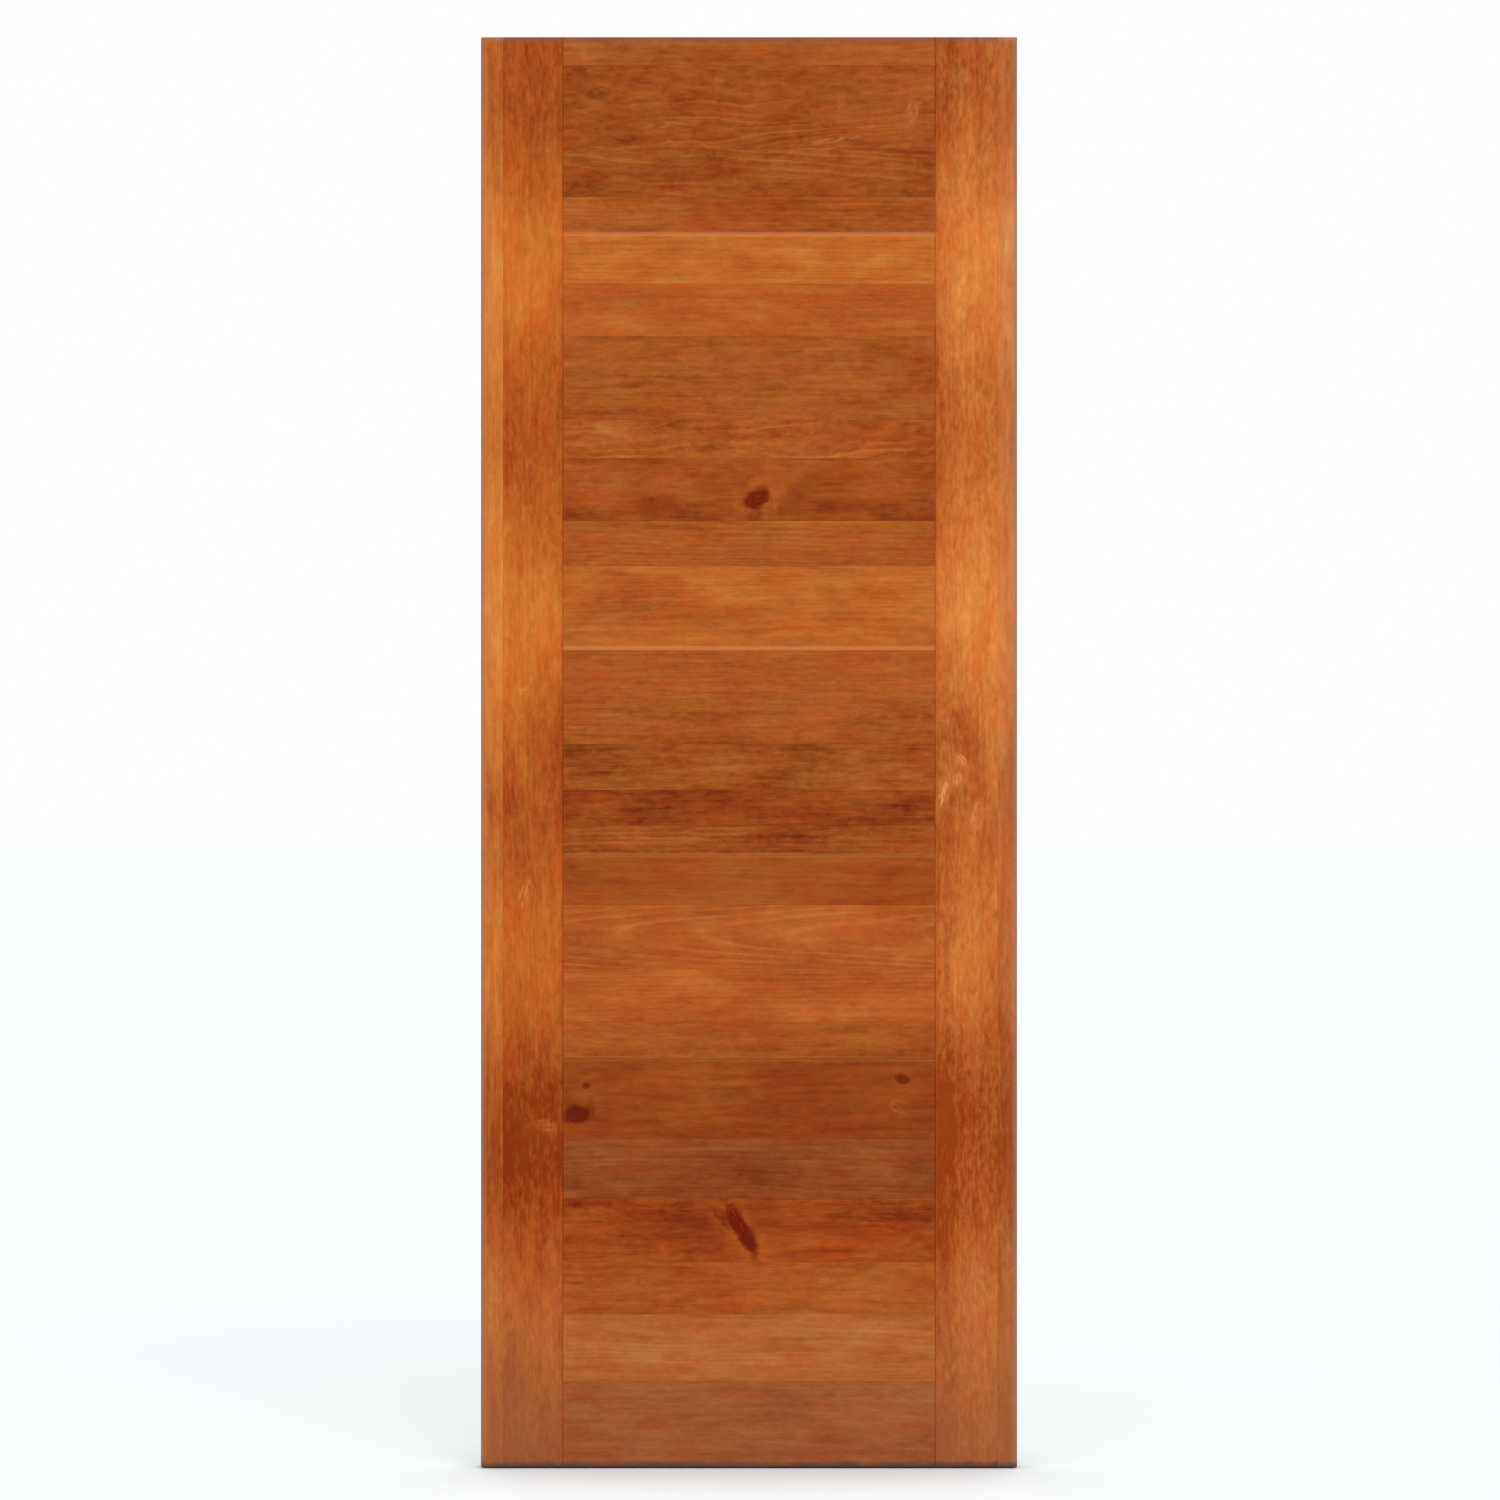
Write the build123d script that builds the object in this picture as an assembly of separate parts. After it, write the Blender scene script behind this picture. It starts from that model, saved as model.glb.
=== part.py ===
"""Pine exterior door leaf: two ploughed stiles with edge strips, and five panels of tongued boards.

X runs across the leaf from its left edge, Y through its thickness (the photographed face is at -Y) and Z
up. The origin is the centre of the left edge, where the leaf hangs. All sizes are in millimetres.
"""
import os

from build123d import *

# Overall size of the leaf: a standard 36 by 96 by 1 3/4 inch exterior door
LEAF_WIDTH = 914.4
LEAF_HEIGHT = 2438.4
LEAF_THICKNESS = 44.45
ARRIS_RADIUS = 2.0

# Stiles, each a wide board with a narrower strip glued along its outer edge
STILE_WIDTH = 139.7
LEFT_STRIP_WIDTH = 38.0
RIGHT_STRIP_WIDTH = 33.0

# Panels from the top down: the bottom panel takes the height that is left
TOP_PANEL_HEIGHT = 336.0
UPPER_PANEL_HEIGHT = 706.0
MIDDLE_PANEL_HEIGHT = 353.0
LOWER_PANEL_HEIGHT = 348.0

# Heights of the staves in each panel, from the top down: they are trimmed in proportion to fill it
TOP_PANEL_STAVES = (48.0, 141.0, 84.0, 63.0)
UPPER_PANEL_STAVES = (85.0, 89.0, 143.0, 65.0, 107.0, 77.0, 140.0)
MIDDLE_PANEL_STAVES = (75.0, 89.0, 78.0, 61.0, 50.0)
LOWER_PANEL_STAVES = (85.0, 109.0, 90.0, 64.0)
BOTTOM_PANEL_STAVES = (136.0, 101.0, 109.0, 89.0, 114.0, 146.4)

# Tongue along the top of each stave, in the groove under the stave above
TONGUE_THICKNESS = 12.7
TONGUE_HEIGHT = 12.0
TONGUE_TIP_CHAMFER = 1.0
TONGUE_SIDE_CLEARANCE = 0.15
TONGUE_END_CLEARANCE = 0.7

# Stub tenons on the ends of each stave, as thick as its tongue, in the plough of the stile
TENON_LENGTH = 18.0
TENON_END_CLEARANCE = 1.0

# Tongue of each edge strip, in the outer edge of its stile
STRIP_TONGUE_THICKNESS = 9.5
STRIP_TONGUE_LENGTH = 8.0
STRIP_TONGUE_END_CLEARANCE = 0.5

# V grooves, on both faces: across where panels meet, and a finer one down each stile joint
PANEL_V_WIDTH = 7.0
PANEL_V_DEPTH = 3.0
STILE_V_WIDTH = 4.0
STILE_V_DEPTH = 1.8

# Worked out from the sizes above
HALF_THICKNESS = LEAF_THICKNESS / 2
TOP = LEAF_HEIGHT / 2
FOOT = -LEAF_HEIGHT / 2
FIELD_LEFT = STILE_WIDTH
FIELD_RIGHT = LEAF_WIDTH - STILE_WIDTH
TENONED_LEFT = FIELD_LEFT - TENON_LENGTH
TENONED_RIGHT = FIELD_RIGHT + TENON_LENGTH
GROOVE_DEPTH = TONGUE_HEIGHT + TONGUE_END_CLEARANCE
PLOUGH_DEPTH = TENON_LENGTH + TENON_END_CLEARANCE
STRIP_GROOVE_DEPTH = STRIP_TONGUE_LENGTH + STRIP_TONGUE_END_CLEARANCE
UPPER_HEIGHTS = TOP_PANEL_HEIGHT + UPPER_PANEL_HEIGHT + MIDDLE_PANEL_HEIGHT + LOWER_PANEL_HEIGHT

PANELS = (
    ("top_panel", TOP_PANEL_HEIGHT, TOP_PANEL_STAVES),
    ("upper_panel", UPPER_PANEL_HEIGHT, UPPER_PANEL_STAVES),
    ("middle_panel", MIDDLE_PANEL_HEIGHT, MIDDLE_PANEL_STAVES),
    ("lower_panel", LOWER_PANEL_HEIGHT, LOWER_PANEL_STAVES),
    ("bottom_panel", LEAF_HEIGHT - UPPER_HEIGHTS, BOTTOM_PANEL_STAVES),
)

# Planes that a board's section is drawn on: its width runs along the plane's x, its thickness along y
UPRIGHT = Plane.XY
LEVEL = Plane(origin=(LEAF_WIDTH / 2, 0, 0), x_dir=(0, 0, 1), z_dir=(-1, 0, 0))

# Long enough to pass right through any piece that it cuts
CUTTER_LENGTH = 2 * LEAF_HEIGHT


def block(x_range, y_range, z_range):
    """A square-edged solid between two values on each axis."""
    ranges = (x_range, y_range, z_range)
    sizes = [high - low for low, high in ranges]
    middle = [(low + high) / 2 for low, high in ranges]
    return Pos(*middle) * Box(*sizes)


def layer(thickness):
    """The two Y values of a layer of this thickness in the middle of the leaf."""
    return (-thickness / 2, thickness / 2)


def square_edge(at):
    """Half of a board's section round a plain edge."""
    return [(at, HALF_THICKNESS)]


def v_edge(at, outward, v_width, v_depth):
    """Half of a board's section round an edge that takes its half of a V groove."""
    return [(at - outward * v_width / 2, HALF_THICKNESS), (at, HALF_THICKNESS - v_depth)]


def tongue(at, outward, thickness, length):
    """Half of the section of a tongue that stands out of an edge, with its tip chamfered to enter easily."""
    tip = at + outward * length
    return [
        (at, thickness / 2),
        (tip - outward * TONGUE_TIP_CHAMFER, thickness / 2),
        (tip, thickness / 2 - TONGUE_TIP_CHAMFER),
    ]


def groove(at, outward, tongue_thickness, depth):
    """Half of the section of a groove that is cut into an edge to take a tongue of this thickness."""
    half_width = tongue_thickness / 2 + TONGUE_SIDE_CLEARANCE
    return [(at, half_width), (at - outward * depth, half_width)]


def moulded_board(plane, low_edge, high_edge, length):
    """A board with one section all along it, alike on both faces.

    Each edge is a list of points from the face in to the middle of the thickness.
    """
    half = low_edge[::-1] + high_edge
    other_half = [(along, -through) for along, through in reversed(half)]
    section = plane * make_face(Polyline(*half, *other_half, close=True))
    return extrude(section, amount=length / 2, both=True)


def eased_leaf():
    """The outside of the whole leaf, with every outer arris eased to a small round."""
    leaf = block((0, LEAF_WIDTH), layer(LEAF_THICKNESS), (FOOT, TOP))
    return fillet(leaf.edges(), ARRIS_RADIUS)


def stile_edge(at, outward):
    """Half of the section where a stave's shoulder meets a stile, with its half of the fine V."""
    return v_edge(at, outward, STILE_V_WIDTH, STILE_V_DEPTH)


def stave_top(top, starts_panel):
    """Half of the section round a stave's top: a tongue, or the plain top of the leaf."""
    if top > TOP - TONGUE_HEIGHT:
        return square_edge(top)
    face = v_edge(top, 1, PANEL_V_WIDTH, PANEL_V_DEPTH) if starts_panel else square_edge(top)
    return face + tongue(top, 1, TONGUE_THICKNESS, TONGUE_HEIGHT)


def stave_foot(foot, ends_panel):
    """Half of the section round a stave's underside: a groove, or the plain foot of the leaf."""
    if foot < FOOT + TONGUE_HEIGHT:
        return square_edge(foot)
    face = v_edge(foot, -1, PANEL_V_WIDTH, PANEL_V_DEPTH) if ends_panel else square_edge(foot)
    return face + groove(foot, -1, TONGUE_THICKNESS, GROOVE_DEPTH)


def shouldered_ends(height_range):
    """What is cut off a stave's two ends to leave its shoulders, their fine Vs and its stub tenons."""
    tenoned = (TENONED_LEFT, TENONED_RIGHT)
    whole = block(tenoned, layer(LEAF_THICKNESS), height_range)
    rib = block(tenoned, layer(TONGUE_THICKNESS), height_range)
    between_shoulders = moulded_board(
        UPRIGHT, stile_edge(FIELD_LEFT, -1), stile_edge(FIELD_RIGHT, 1), CUTTER_LENGTH
    )
    return whole - rib - between_shoulders


def stave(top, height, starts_panel, ends_panel):
    """One board of the field: tongued above, grooved below, and tenoned into both stiles."""
    foot = top - height
    length = TENONED_RIGHT - TENONED_LEFT
    board = moulded_board(LEVEL, stave_foot(foot, ends_panel), stave_top(top, starts_panel), length)
    board -= shouldered_ends((foot, top))
    reaches_edge = foot < FOOT + TONGUE_HEIGHT or top > TOP - TONGUE_HEIGHT
    return board & eased_leaf() if reaches_edge else board


def inward(side, distance):
    """The X value this far in from the left or the right edge of the leaf."""
    return distance if side == "left" else LEAF_WIDTH - distance


def upright_board(side, outer_edge, inner_edge):
    """A full-height board on one side of the leaf, with the leaf's eased arrises."""
    edges = (outer_edge, inner_edge) if side == "left" else (inner_edge, outer_edge)
    return moulded_board(UPRIGHT, *edges, LEAF_HEIGHT) & eased_leaf()


def stile(side, strip_width):
    """A stile: ploughed down its inner edge for the staves, and grooved outside for its strip."""
    towards_field = 1 if side == "left" else -1
    outer = inward(side, strip_width)
    inner = inward(side, STILE_WIDTH)
    outer_edge = square_edge(outer) + groove(
        outer, -towards_field, STRIP_TONGUE_THICKNESS, STRIP_GROOVE_DEPTH
    )
    inner_edge = stile_edge(inner, towards_field) + groove(
        inner, towards_field, TONGUE_THICKNESS, PLOUGH_DEPTH
    )
    return upright_board(side, outer_edge, inner_edge)


def edge_strip(side, strip_width):
    """The strip along a stile's outer edge, with a tongue that seats in the stile."""
    towards_field = 1 if side == "left" else -1
    inner = inward(side, strip_width)
    inner_edge = square_edge(inner) + tongue(
        inner, towards_field, STRIP_TONGUE_THICKNESS, STRIP_TONGUE_LENGTH
    )
    return upright_board(side, square_edge(inward(side, 0)), inner_edge)


def panel_staves(panel, top, panel_height, ripped_heights):
    """The staves of one panel by name, numbered from its top."""
    trim = panel_height / sum(ripped_heights)
    nodes = {}
    for number, ripped_height in enumerate(ripped_heights, start=1):
        height = ripped_height * trim
        starts_panel = number == 1
        ends_panel = number == len(ripped_heights)
        nodes[f"{panel}_stave_{number}"] = stave(top, height, starts_panel, ends_panel)
        top -= height
    return nodes


def door_nodes():
    """Every piece of the leaf by name."""
    nodes = {}
    for side, strip_width in (("left", LEFT_STRIP_WIDTH), ("right", RIGHT_STRIP_WIDTH)):
        nodes[f"{side}_stile"] = stile(side, strip_width)
        nodes[f"{side}_edge_strip"] = edge_strip(side, strip_width)
    top = TOP
    for panel, panel_height, ripped_heights in PANELS:
        nodes.update(panel_staves(panel, top, panel_height, ripped_heights))
        top -= panel_height
    return nodes


def main():
    """Write one STEP file for each piece."""
    os.makedirs("parts", exist_ok=True)
    for name, shape in door_nodes().items():
        piece = shape.solid()
        piece.label = name
        export_step(piece, f"parts/{name}.step")
        print(f"{name}: {piece.volume / 1e6:.3f} litres")


if __name__ == "__main__":
    main()
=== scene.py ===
"""Finishes the stained pine exterior door leaf board by board, and lights it for a studio picture.

Lengths are in metres in the leaf's own frame: X across from the left edge, Y through the thickness with
the photographed face at -Y, and Z up from the middle of the leaf's height.
"""
import logging
import math
from dataclasses import dataclass, replace
from enum import Enum

import bmesh
import bpy
import numpy as np
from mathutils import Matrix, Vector


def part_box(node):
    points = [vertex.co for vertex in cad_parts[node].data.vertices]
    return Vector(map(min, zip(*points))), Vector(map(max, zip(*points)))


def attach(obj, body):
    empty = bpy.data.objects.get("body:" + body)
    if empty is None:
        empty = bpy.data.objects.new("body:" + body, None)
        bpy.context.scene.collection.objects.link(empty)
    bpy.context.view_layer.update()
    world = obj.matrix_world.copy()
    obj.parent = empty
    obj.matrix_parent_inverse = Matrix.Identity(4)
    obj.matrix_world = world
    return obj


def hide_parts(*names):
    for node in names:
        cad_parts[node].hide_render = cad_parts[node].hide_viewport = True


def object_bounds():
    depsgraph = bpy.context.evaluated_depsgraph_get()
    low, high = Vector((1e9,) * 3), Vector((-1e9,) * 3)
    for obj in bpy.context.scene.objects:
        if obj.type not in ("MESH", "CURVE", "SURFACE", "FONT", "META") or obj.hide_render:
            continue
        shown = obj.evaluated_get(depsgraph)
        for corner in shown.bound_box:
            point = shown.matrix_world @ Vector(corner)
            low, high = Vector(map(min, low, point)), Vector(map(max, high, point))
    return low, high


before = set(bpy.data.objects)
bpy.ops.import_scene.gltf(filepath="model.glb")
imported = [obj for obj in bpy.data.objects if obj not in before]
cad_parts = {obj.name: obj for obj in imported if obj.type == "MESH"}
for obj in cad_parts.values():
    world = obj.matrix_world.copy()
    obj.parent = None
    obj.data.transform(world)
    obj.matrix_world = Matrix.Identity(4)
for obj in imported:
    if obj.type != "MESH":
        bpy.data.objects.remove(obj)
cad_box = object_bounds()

log = logging.getLogger("pine_door")

Socket = bpy.types.NodeSocket
Feed = Socket | float | tuple[float, ...]
Point = tuple[float, float]
Triple = tuple[float, float, float]
Outputs = dict[str, Socket]

PHOTO_SIDE = 1500
PHOTO_LEAF_LEFT = 482.5
PHOTO_LEAF_RIGHT = 1015.5
PHOTO_LEAF_TOP = 37.0
PHOTO_LEAF_FOOT = 1467.0

LOW_CORNER, HIGH_CORNER = (Vector(corner) for corner in cad_box)
LEAF_SIZE = HIGH_CORNER - LOW_CORNER
LEAF_MIDDLE = (LOW_CORNER + HIGH_CORNER) / 2
HALF_THICKNESS = LEAF_SIZE.y / 2
METRES_PER_PIXEL = LEAF_SIZE.z / (PHOTO_LEAF_FOOT - PHOTO_LEAF_TOP)

# A board's insets are measured from its two long edges and its ends
SIDES = ("Low", "High", "End")
# Stands for the inset of an arris that a board doesn't have
NO_ARRIS = -1.0
# Further across than any board reaches
BEYOND_THE_LEAF = 10.0
# How far one more on a seed moves the noise along, across and through a board
SEED_SHIFT = (17.3, 5.9, 11.7)
KNOT_SEED_STEP = 3.7
# The palest and the deepest colour of the grain, as multiples of the board's tone
PALE_GAIN = (1.45, 1.75, 2.1)
DEEP_GAIN = (0.49, 0.27, 0.14)


def photo_height(pixel: float) -> float:
    """Returns the height in the leaf's frame of a row of the photograph."""
    return HIGH_CORNER.z - (pixel - PHOTO_LEAF_TOP) * METRES_PER_PIXEL


class Tone(Enum):
    """Stain tones, and the colours of painted highlights and painted shade, as display colours out of 255.
    """

    HONEY = (190, 101, 39)
    ORANGE = (180, 90, 34)
    AMBER = (168, 83, 30)
    RUSSET = (158, 75, 26)
    CHESTNUT = (149, 65, 20)
    UMBER = (147, 70, 28)
    TAN = (178, 98, 47)
    WALNUT = (156, 85, 44)
    STILE_LEFT = (190, 95, 33)
    STILE_RIGHT = (203, 112, 49)
    STRIP_LEFT = (205, 116, 50)
    STRIP_RIGHT = (200, 115, 58)
    # Thinner stain on the V groove flanks, with a painted highlight where they face the light
    THIN_STAIN_AND_HIGHLIGHT = (224, 146, 84)
    # A darker, greyer colour along the leaf's outer border
    EDGE_DARKENING = (118, 90, 76)
    EDGE_HAZE = (158, 124, 98)
    # Painted shade along the leaf's foot, where it meets the floor
    FOOT_PAINTED_SHADE = (84, 64, 46)
    FOOT_HAZE = (181, 117, 75)
    BARE_PINE = (222, 182, 130)

    def linear(self) -> tuple[float, float, float]:
        """Returns the tone as linear red, green and blue."""
        return tuple(((part / 255 + 0.055) / 1.055) ** 2.4 for part in self.value)

    def colour(self) -> tuple[float, float, float, float]:
        """Returns the tone as a colour socket takes it."""
        return (*self.linear(), 1.0)


class Figure(Enum):
    """How a board was cut from its log, which sets the lines of its growth rings."""

    STRAIGHT = "straight"
    GENTLE = "gentle"
    CATHEDRAL = "cathedral"
    WILD = "wild"
    MOTTLED = "mottled"


class Heart(Enum):
    """What shows in the middle of a knot or curl."""

    DARK = "dark"
    PALE = "pale"
    CLOUDED = "clouded"


class Corner(Enum):
    """How the corner between a face and an edge is worked."""

    GLUED = "glued"
    PANEL_V = "panel_v"
    STILE_V = "stile_v"
    EASED = "eased"


class Rib(Enum):
    """What runs along the middle of a long edge."""

    NONE = "none"
    TONGUE = "tongue"
    GROOVE = "groove"


class Cells(Enum):
    """How many cells of noise lie in a metre along, across and through a board."""

    RING_WAVE = (2.1, 8.0, 5.0)
    RING_CURL = (16.0, 42.0, 30.0)
    LINE_BREAK = (4.5, 34.0, 20.0)
    FIBRE_BEND = (7.0, 16.0, 16.0)
    FIBRE = (13.0, 620.0, 400.0)
    STREAK = (7.0, 90.0, 80.0)
    FLECK = (55.0, 160.0, 140.0)
    MOTTLE = (30.0, 62.0, 50.0)
    BLOTCH = (5.0, 12.0, 9.0)
    TINT = (11.0, 26.0, 16.0)
    SHADE_SHIFT = (3.0, 16.0, 6.0)
    RAGGED_KNOT = (150.0, 150.0, 40.0)
    LOBED_KNOT = (46.0, 46.0, 20.0)
    KNOT_STROKE = (60.0, 230.0, 60.0)
    KNOT_TRAIL = (18.0, 190.0, 90.0)
    WEAR_BREAK = (24.0, 60.0, 60.0)
    BORDER_BREAK = (30.0, 60.0, 40.0)
    ORANGE_PEEL = (260.0, 300.0, 300.0)


@dataclass(frozen=True)
class Joinery:
    """The sizes that the boards share where they meet."""

    tongue_thickness: float = 0.0127
    tongue_height: float = 0.012
    tongue_tip_chamfer: float = 0.001
    side_clearance: float = 0.00015
    groove_depth: float = 0.0127
    tenon_length: float = 0.018
    plough_depth: float = 0.019
    strip_tongue_thickness: float = 0.0095
    strip_tongue_length: float = 0.008
    strip_groove_depth: float = 0.0085
    panel_v_width: float = 0.007
    panel_v_depth: float = 0.003
    stile_v_width: float = 0.004
    stile_v_depth: float = 0.0018
    arris_radius: float = 0.002
    glue_line_round: float = 0.0003
    worn_round: float = 0.0006
    eased_wear_share: float = 0.3

    def arris_inset(self, corner: Corner) -> float:
        """How far the worn arris lies in from a board's edge.

        Args:
            corner: How the corner is worked.

        Returns:
            The inset, or NO_ARRIS where there is none.
        """
        insets = {
            Corner.PANEL_V: self.panel_v_width / 2,
            Corner.STILE_V: self.stile_v_width / 2,
            Corner.EASED: self.eased_wear_share * self.arris_radius,
            Corner.GLUED: NO_ARRIS,
        }
        return insets[corner]


JOINERY = Joinery()


@dataclass(frozen=True)
class MeshSteps:
    """How finely the boards' meshes are divided.

    The four whole numbers count the straight pieces of a round, and the lengths are the steps elsewhere.
    """

    eased_round: int = 6
    glue_line_round: int = 2
    worn_round: int = 4
    end_round: int = 5
    edge: float = 0.005
    face: float = 0.0032
    stave_length: float = 0.008
    upright_length: float = 0.011
    knot: float = 0.0016
    knot_reach_share: float = 0.8
    shortest_share: float = 0.4
    sharp_degrees: float = 25.0
    weld_distance: float = 2e-6
    collapse_distance: float = 1e-6


STEPS = MeshSteps()


@dataclass(frozen=True)
class Relief:
    """How far the boards' faces stand out from true, and the shape of the checks in the knots.

    The turns are in radians for each metre, or for each one on a seed.
    """

    proud: float = 0.00007
    proud_turn: float = 5.3
    stave_cup: float = 0.00009
    stave_cup_turn: float = 3.1
    upright_cup: float = 0.00006
    ripple: float = 0.00004
    ripple_turn_along: float = 9.0
    ripple_turn_across: float = 31.0
    curl_height: float = 0.00005
    heart_drop: float = 0.00028
    rim_height: float = 0.00018
    rim_distance: float = 1.15
    rim_spread: float = 0.28
    check_depth: float = 0.0007
    check_width: float = 0.0007
    check_width_change: float = 0.0002
    check_width_turn: float = 230.0
    check_wander: float = 0.0012
    check_wander_turn: float = 400.0
    check_reach_share: float = 0.36


RELIEF = Relief()


@dataclass(frozen=True)
class FlatLayout:
    """How a board's sides lie in its flat layout for textures.

    The margins and the ends' places are shares of the layout, and the other sizes are metres on the board.
    """

    length_margin: float = 0.01
    band_margin: float = 0.004
    end_width: float = 0.48
    far_end_start: float = 0.51
    rib_room: float = 0.015
    hidden_width: float = 0.006
    face_depth: float = 0.0042


LAYOUT = FlatLayout()


@dataclass(frozen=True)
class FigureValues:
    """Numbers that draw one figure.

    The pith lay beside the board, this far across and through it from its middle, and leant away by the
    slopes. The weights say how strongly each part of the grain shows.
    """

    pith_across: float
    pith_depth: float
    slope_across: float
    slope_depth: float
    ring_pitch: float
    waviness: float
    curl: float
    ring_weight: float = 0.13
    line_weight: float = 0.12
    line_breaks: float = 0.42
    streak_weight: float = 1.15
    fleck_weight: float = 0.80
    mottle_weight: float = 1.00
    fibre_weight: float = 0.18


GENTLE = FigureValues(
    pith_across=0.065, pith_depth=0.075, slope_across=-0.02, slope_depth=0.006,
    ring_pitch=0.0046, waviness=0.018, curl=0.0020, line_weight=0.18, streak_weight=0.95,
)
FIGURES = {
    Figure.STRAIGHT: FigureValues(
        pith_across=0.21, pith_depth=0.07, slope_across=0.012, slope_depth=0.004,
        ring_pitch=0.0036, waviness=0.010, curl=0.0014,
    ),
    Figure.GENTLE: GENTLE,
    Figure.CATHEDRAL: FigureValues(
        pith_across=0.004, pith_depth=0.085, slope_across=0.004, slope_depth=-0.026,
        ring_pitch=0.0042, waviness=0.010, curl=0.0012,
        line_weight=0.42, line_breaks=0.36, streak_weight=0.55, fleck_weight=0.70,
    ),
    Figure.WILD: FigureValues(
        pith_across=0.05, pith_depth=0.060, slope_across=0.05, slope_depth=0.020,
        ring_pitch=0.0090, waviness=0.050, curl=0.0120,
        ring_weight=0.12, line_weight=0.50, streak_weight=0.80, mottle_weight=1.90,
    ),
    Figure.MOTTLED: replace(
        GENTLE, ring_weight=0.07, line_weight=0.14, streak_weight=0.60,
        fleck_weight=1.45, mottle_weight=1.30,
    ),
}


@dataclass(frozen=True)
class KnotLook:
    """How a knot's parts are coloured: each gain multiplies the board's tone, channel by channel."""

    heart_gain: Triple
    streak_gain: Triple
    core_weight: float
    halo_weight: float
    feather_weight: float
    gaps_weight: float = 0.0
    glow: float = 0.0
    rim_weight: float = 0.0
    rim_gain: Triple = (0.45, 0.20, 0.08)


KNOT_LOOKS = {
    Heart.DARK: KnotLook(
        heart_gain=(0.46, 0.165, 0.01), streak_gain=(0.80, 0.50, 0.26),
        core_weight=1.00, halo_weight=0.60, feather_weight=0.75, rim_weight=0.12,
    ),
    Heart.PALE: KnotLook(
        heart_gain=(1.45, 2.00, 3.40), streak_gain=(1.25, 1.50, 2.20),
        core_weight=0.60, halo_weight=0.28, feather_weight=0.20, gaps_weight=0.70, glow=0.3,
    ),
    Heart.CLOUDED: KnotLook(
        heart_gain=(1.50, 1.95, 3.10), streak_gain=(1.65, 2.35, 4.20),
        core_weight=0.55, halo_weight=0.34, feather_weight=0.10, gaps_weight=0.55,
    ),
}


@dataclass(frozen=True)
class Knot:
    """A knot or curl that runs through a board.

    across_leaf is measured from the leaf's left edge and below_top from its top, where it comes out on the
    front. length lies along the knot's own line, which is turned up from level by this many degrees. swell
    is how many rings it pushes aside, and boldness makes its colours stronger or weaker.
    """

    across_leaf: float
    below_top: float
    length: float
    width: float
    turn: float = 0.0
    heart: Heart = Heart.DARK
    swell: float = 3.0
    boldness: float = 1.0

    def place(self, upright: bool) -> Point:
        """Where the knot lies along and across its board, in the leaf's frame.

        Args:
            upright: True on a stile or strip, whose grain stands.

        Returns:
            Its distance along the grain's axis and across it.
        """
        level = LOW_CORNER.x + self.across_leaf
        height = HIGH_CORNER.z - self.below_top
        return (height, level) if upright else (level, height)

    def turn_from_grain(self, upright: bool) -> float:
        """Returns the turn of the knot's line from the grain's axis, in radians."""
        return math.radians(90.0 - self.turn if upright else self.turn)


@dataclass(frozen=True)
class LightAndShadeBands:
    """Painted pools of light in broad bands up the stiles, and where the leaf's head and lower half darken
    and its foot turns hazy.
    """

    spacing: float = 0.600
    # Where the first painted pool of light lies
    first_light_height: float = photo_height(256.0)
    head_shade_start: float = photo_height(250.0)
    head_shade_end: float = photo_height(150.0)
    foot_shade_start: float = photo_height(560.0)
    foot_shade_end: float = photo_height(1300.0)
    haze_start: float = photo_height(1200.0)


BANDS = LightAndShadeBands()


@dataclass(frozen=True)
class SurfaceMarks:
    """How far wear, painted shade, the dark border and bare wood reach, how strongly they show, and the
    coat's gloss.
    """

    wear_reach: float = 0.0020
    least_wear: float = 0.00005
    # How far painted shade reaches beside the arrises and grooves
    arris_shade_reach: float = 0.0075
    flank_start: float = 0.0001
    flank_full: float = 0.0009
    flank_slack: float = 0.0003
    border_reach: float = 0.014
    border_breaks: float = 0.006
    border_weight: float = 0.60
    border_on_edges: float = 0.12
    # Painted shade along the leaf's foot
    foot_shadow_reach: float = 0.013
    foot_shadow_weight: float = 0.85
    bare_reach: float = 0.021
    open_edge: float = 0.0006
    bare_start: float = 0.0031
    bare_full: float = 0.0036
    bare_weight: float = 0.85
    roughness: float = 0.33
    peel_height: float = 0.4
    bump_strength: float = 0.5
    bump_distance: float = 0.0001
    specular_level: float = 0.045


MARKS = SurfaceMarks()


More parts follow.
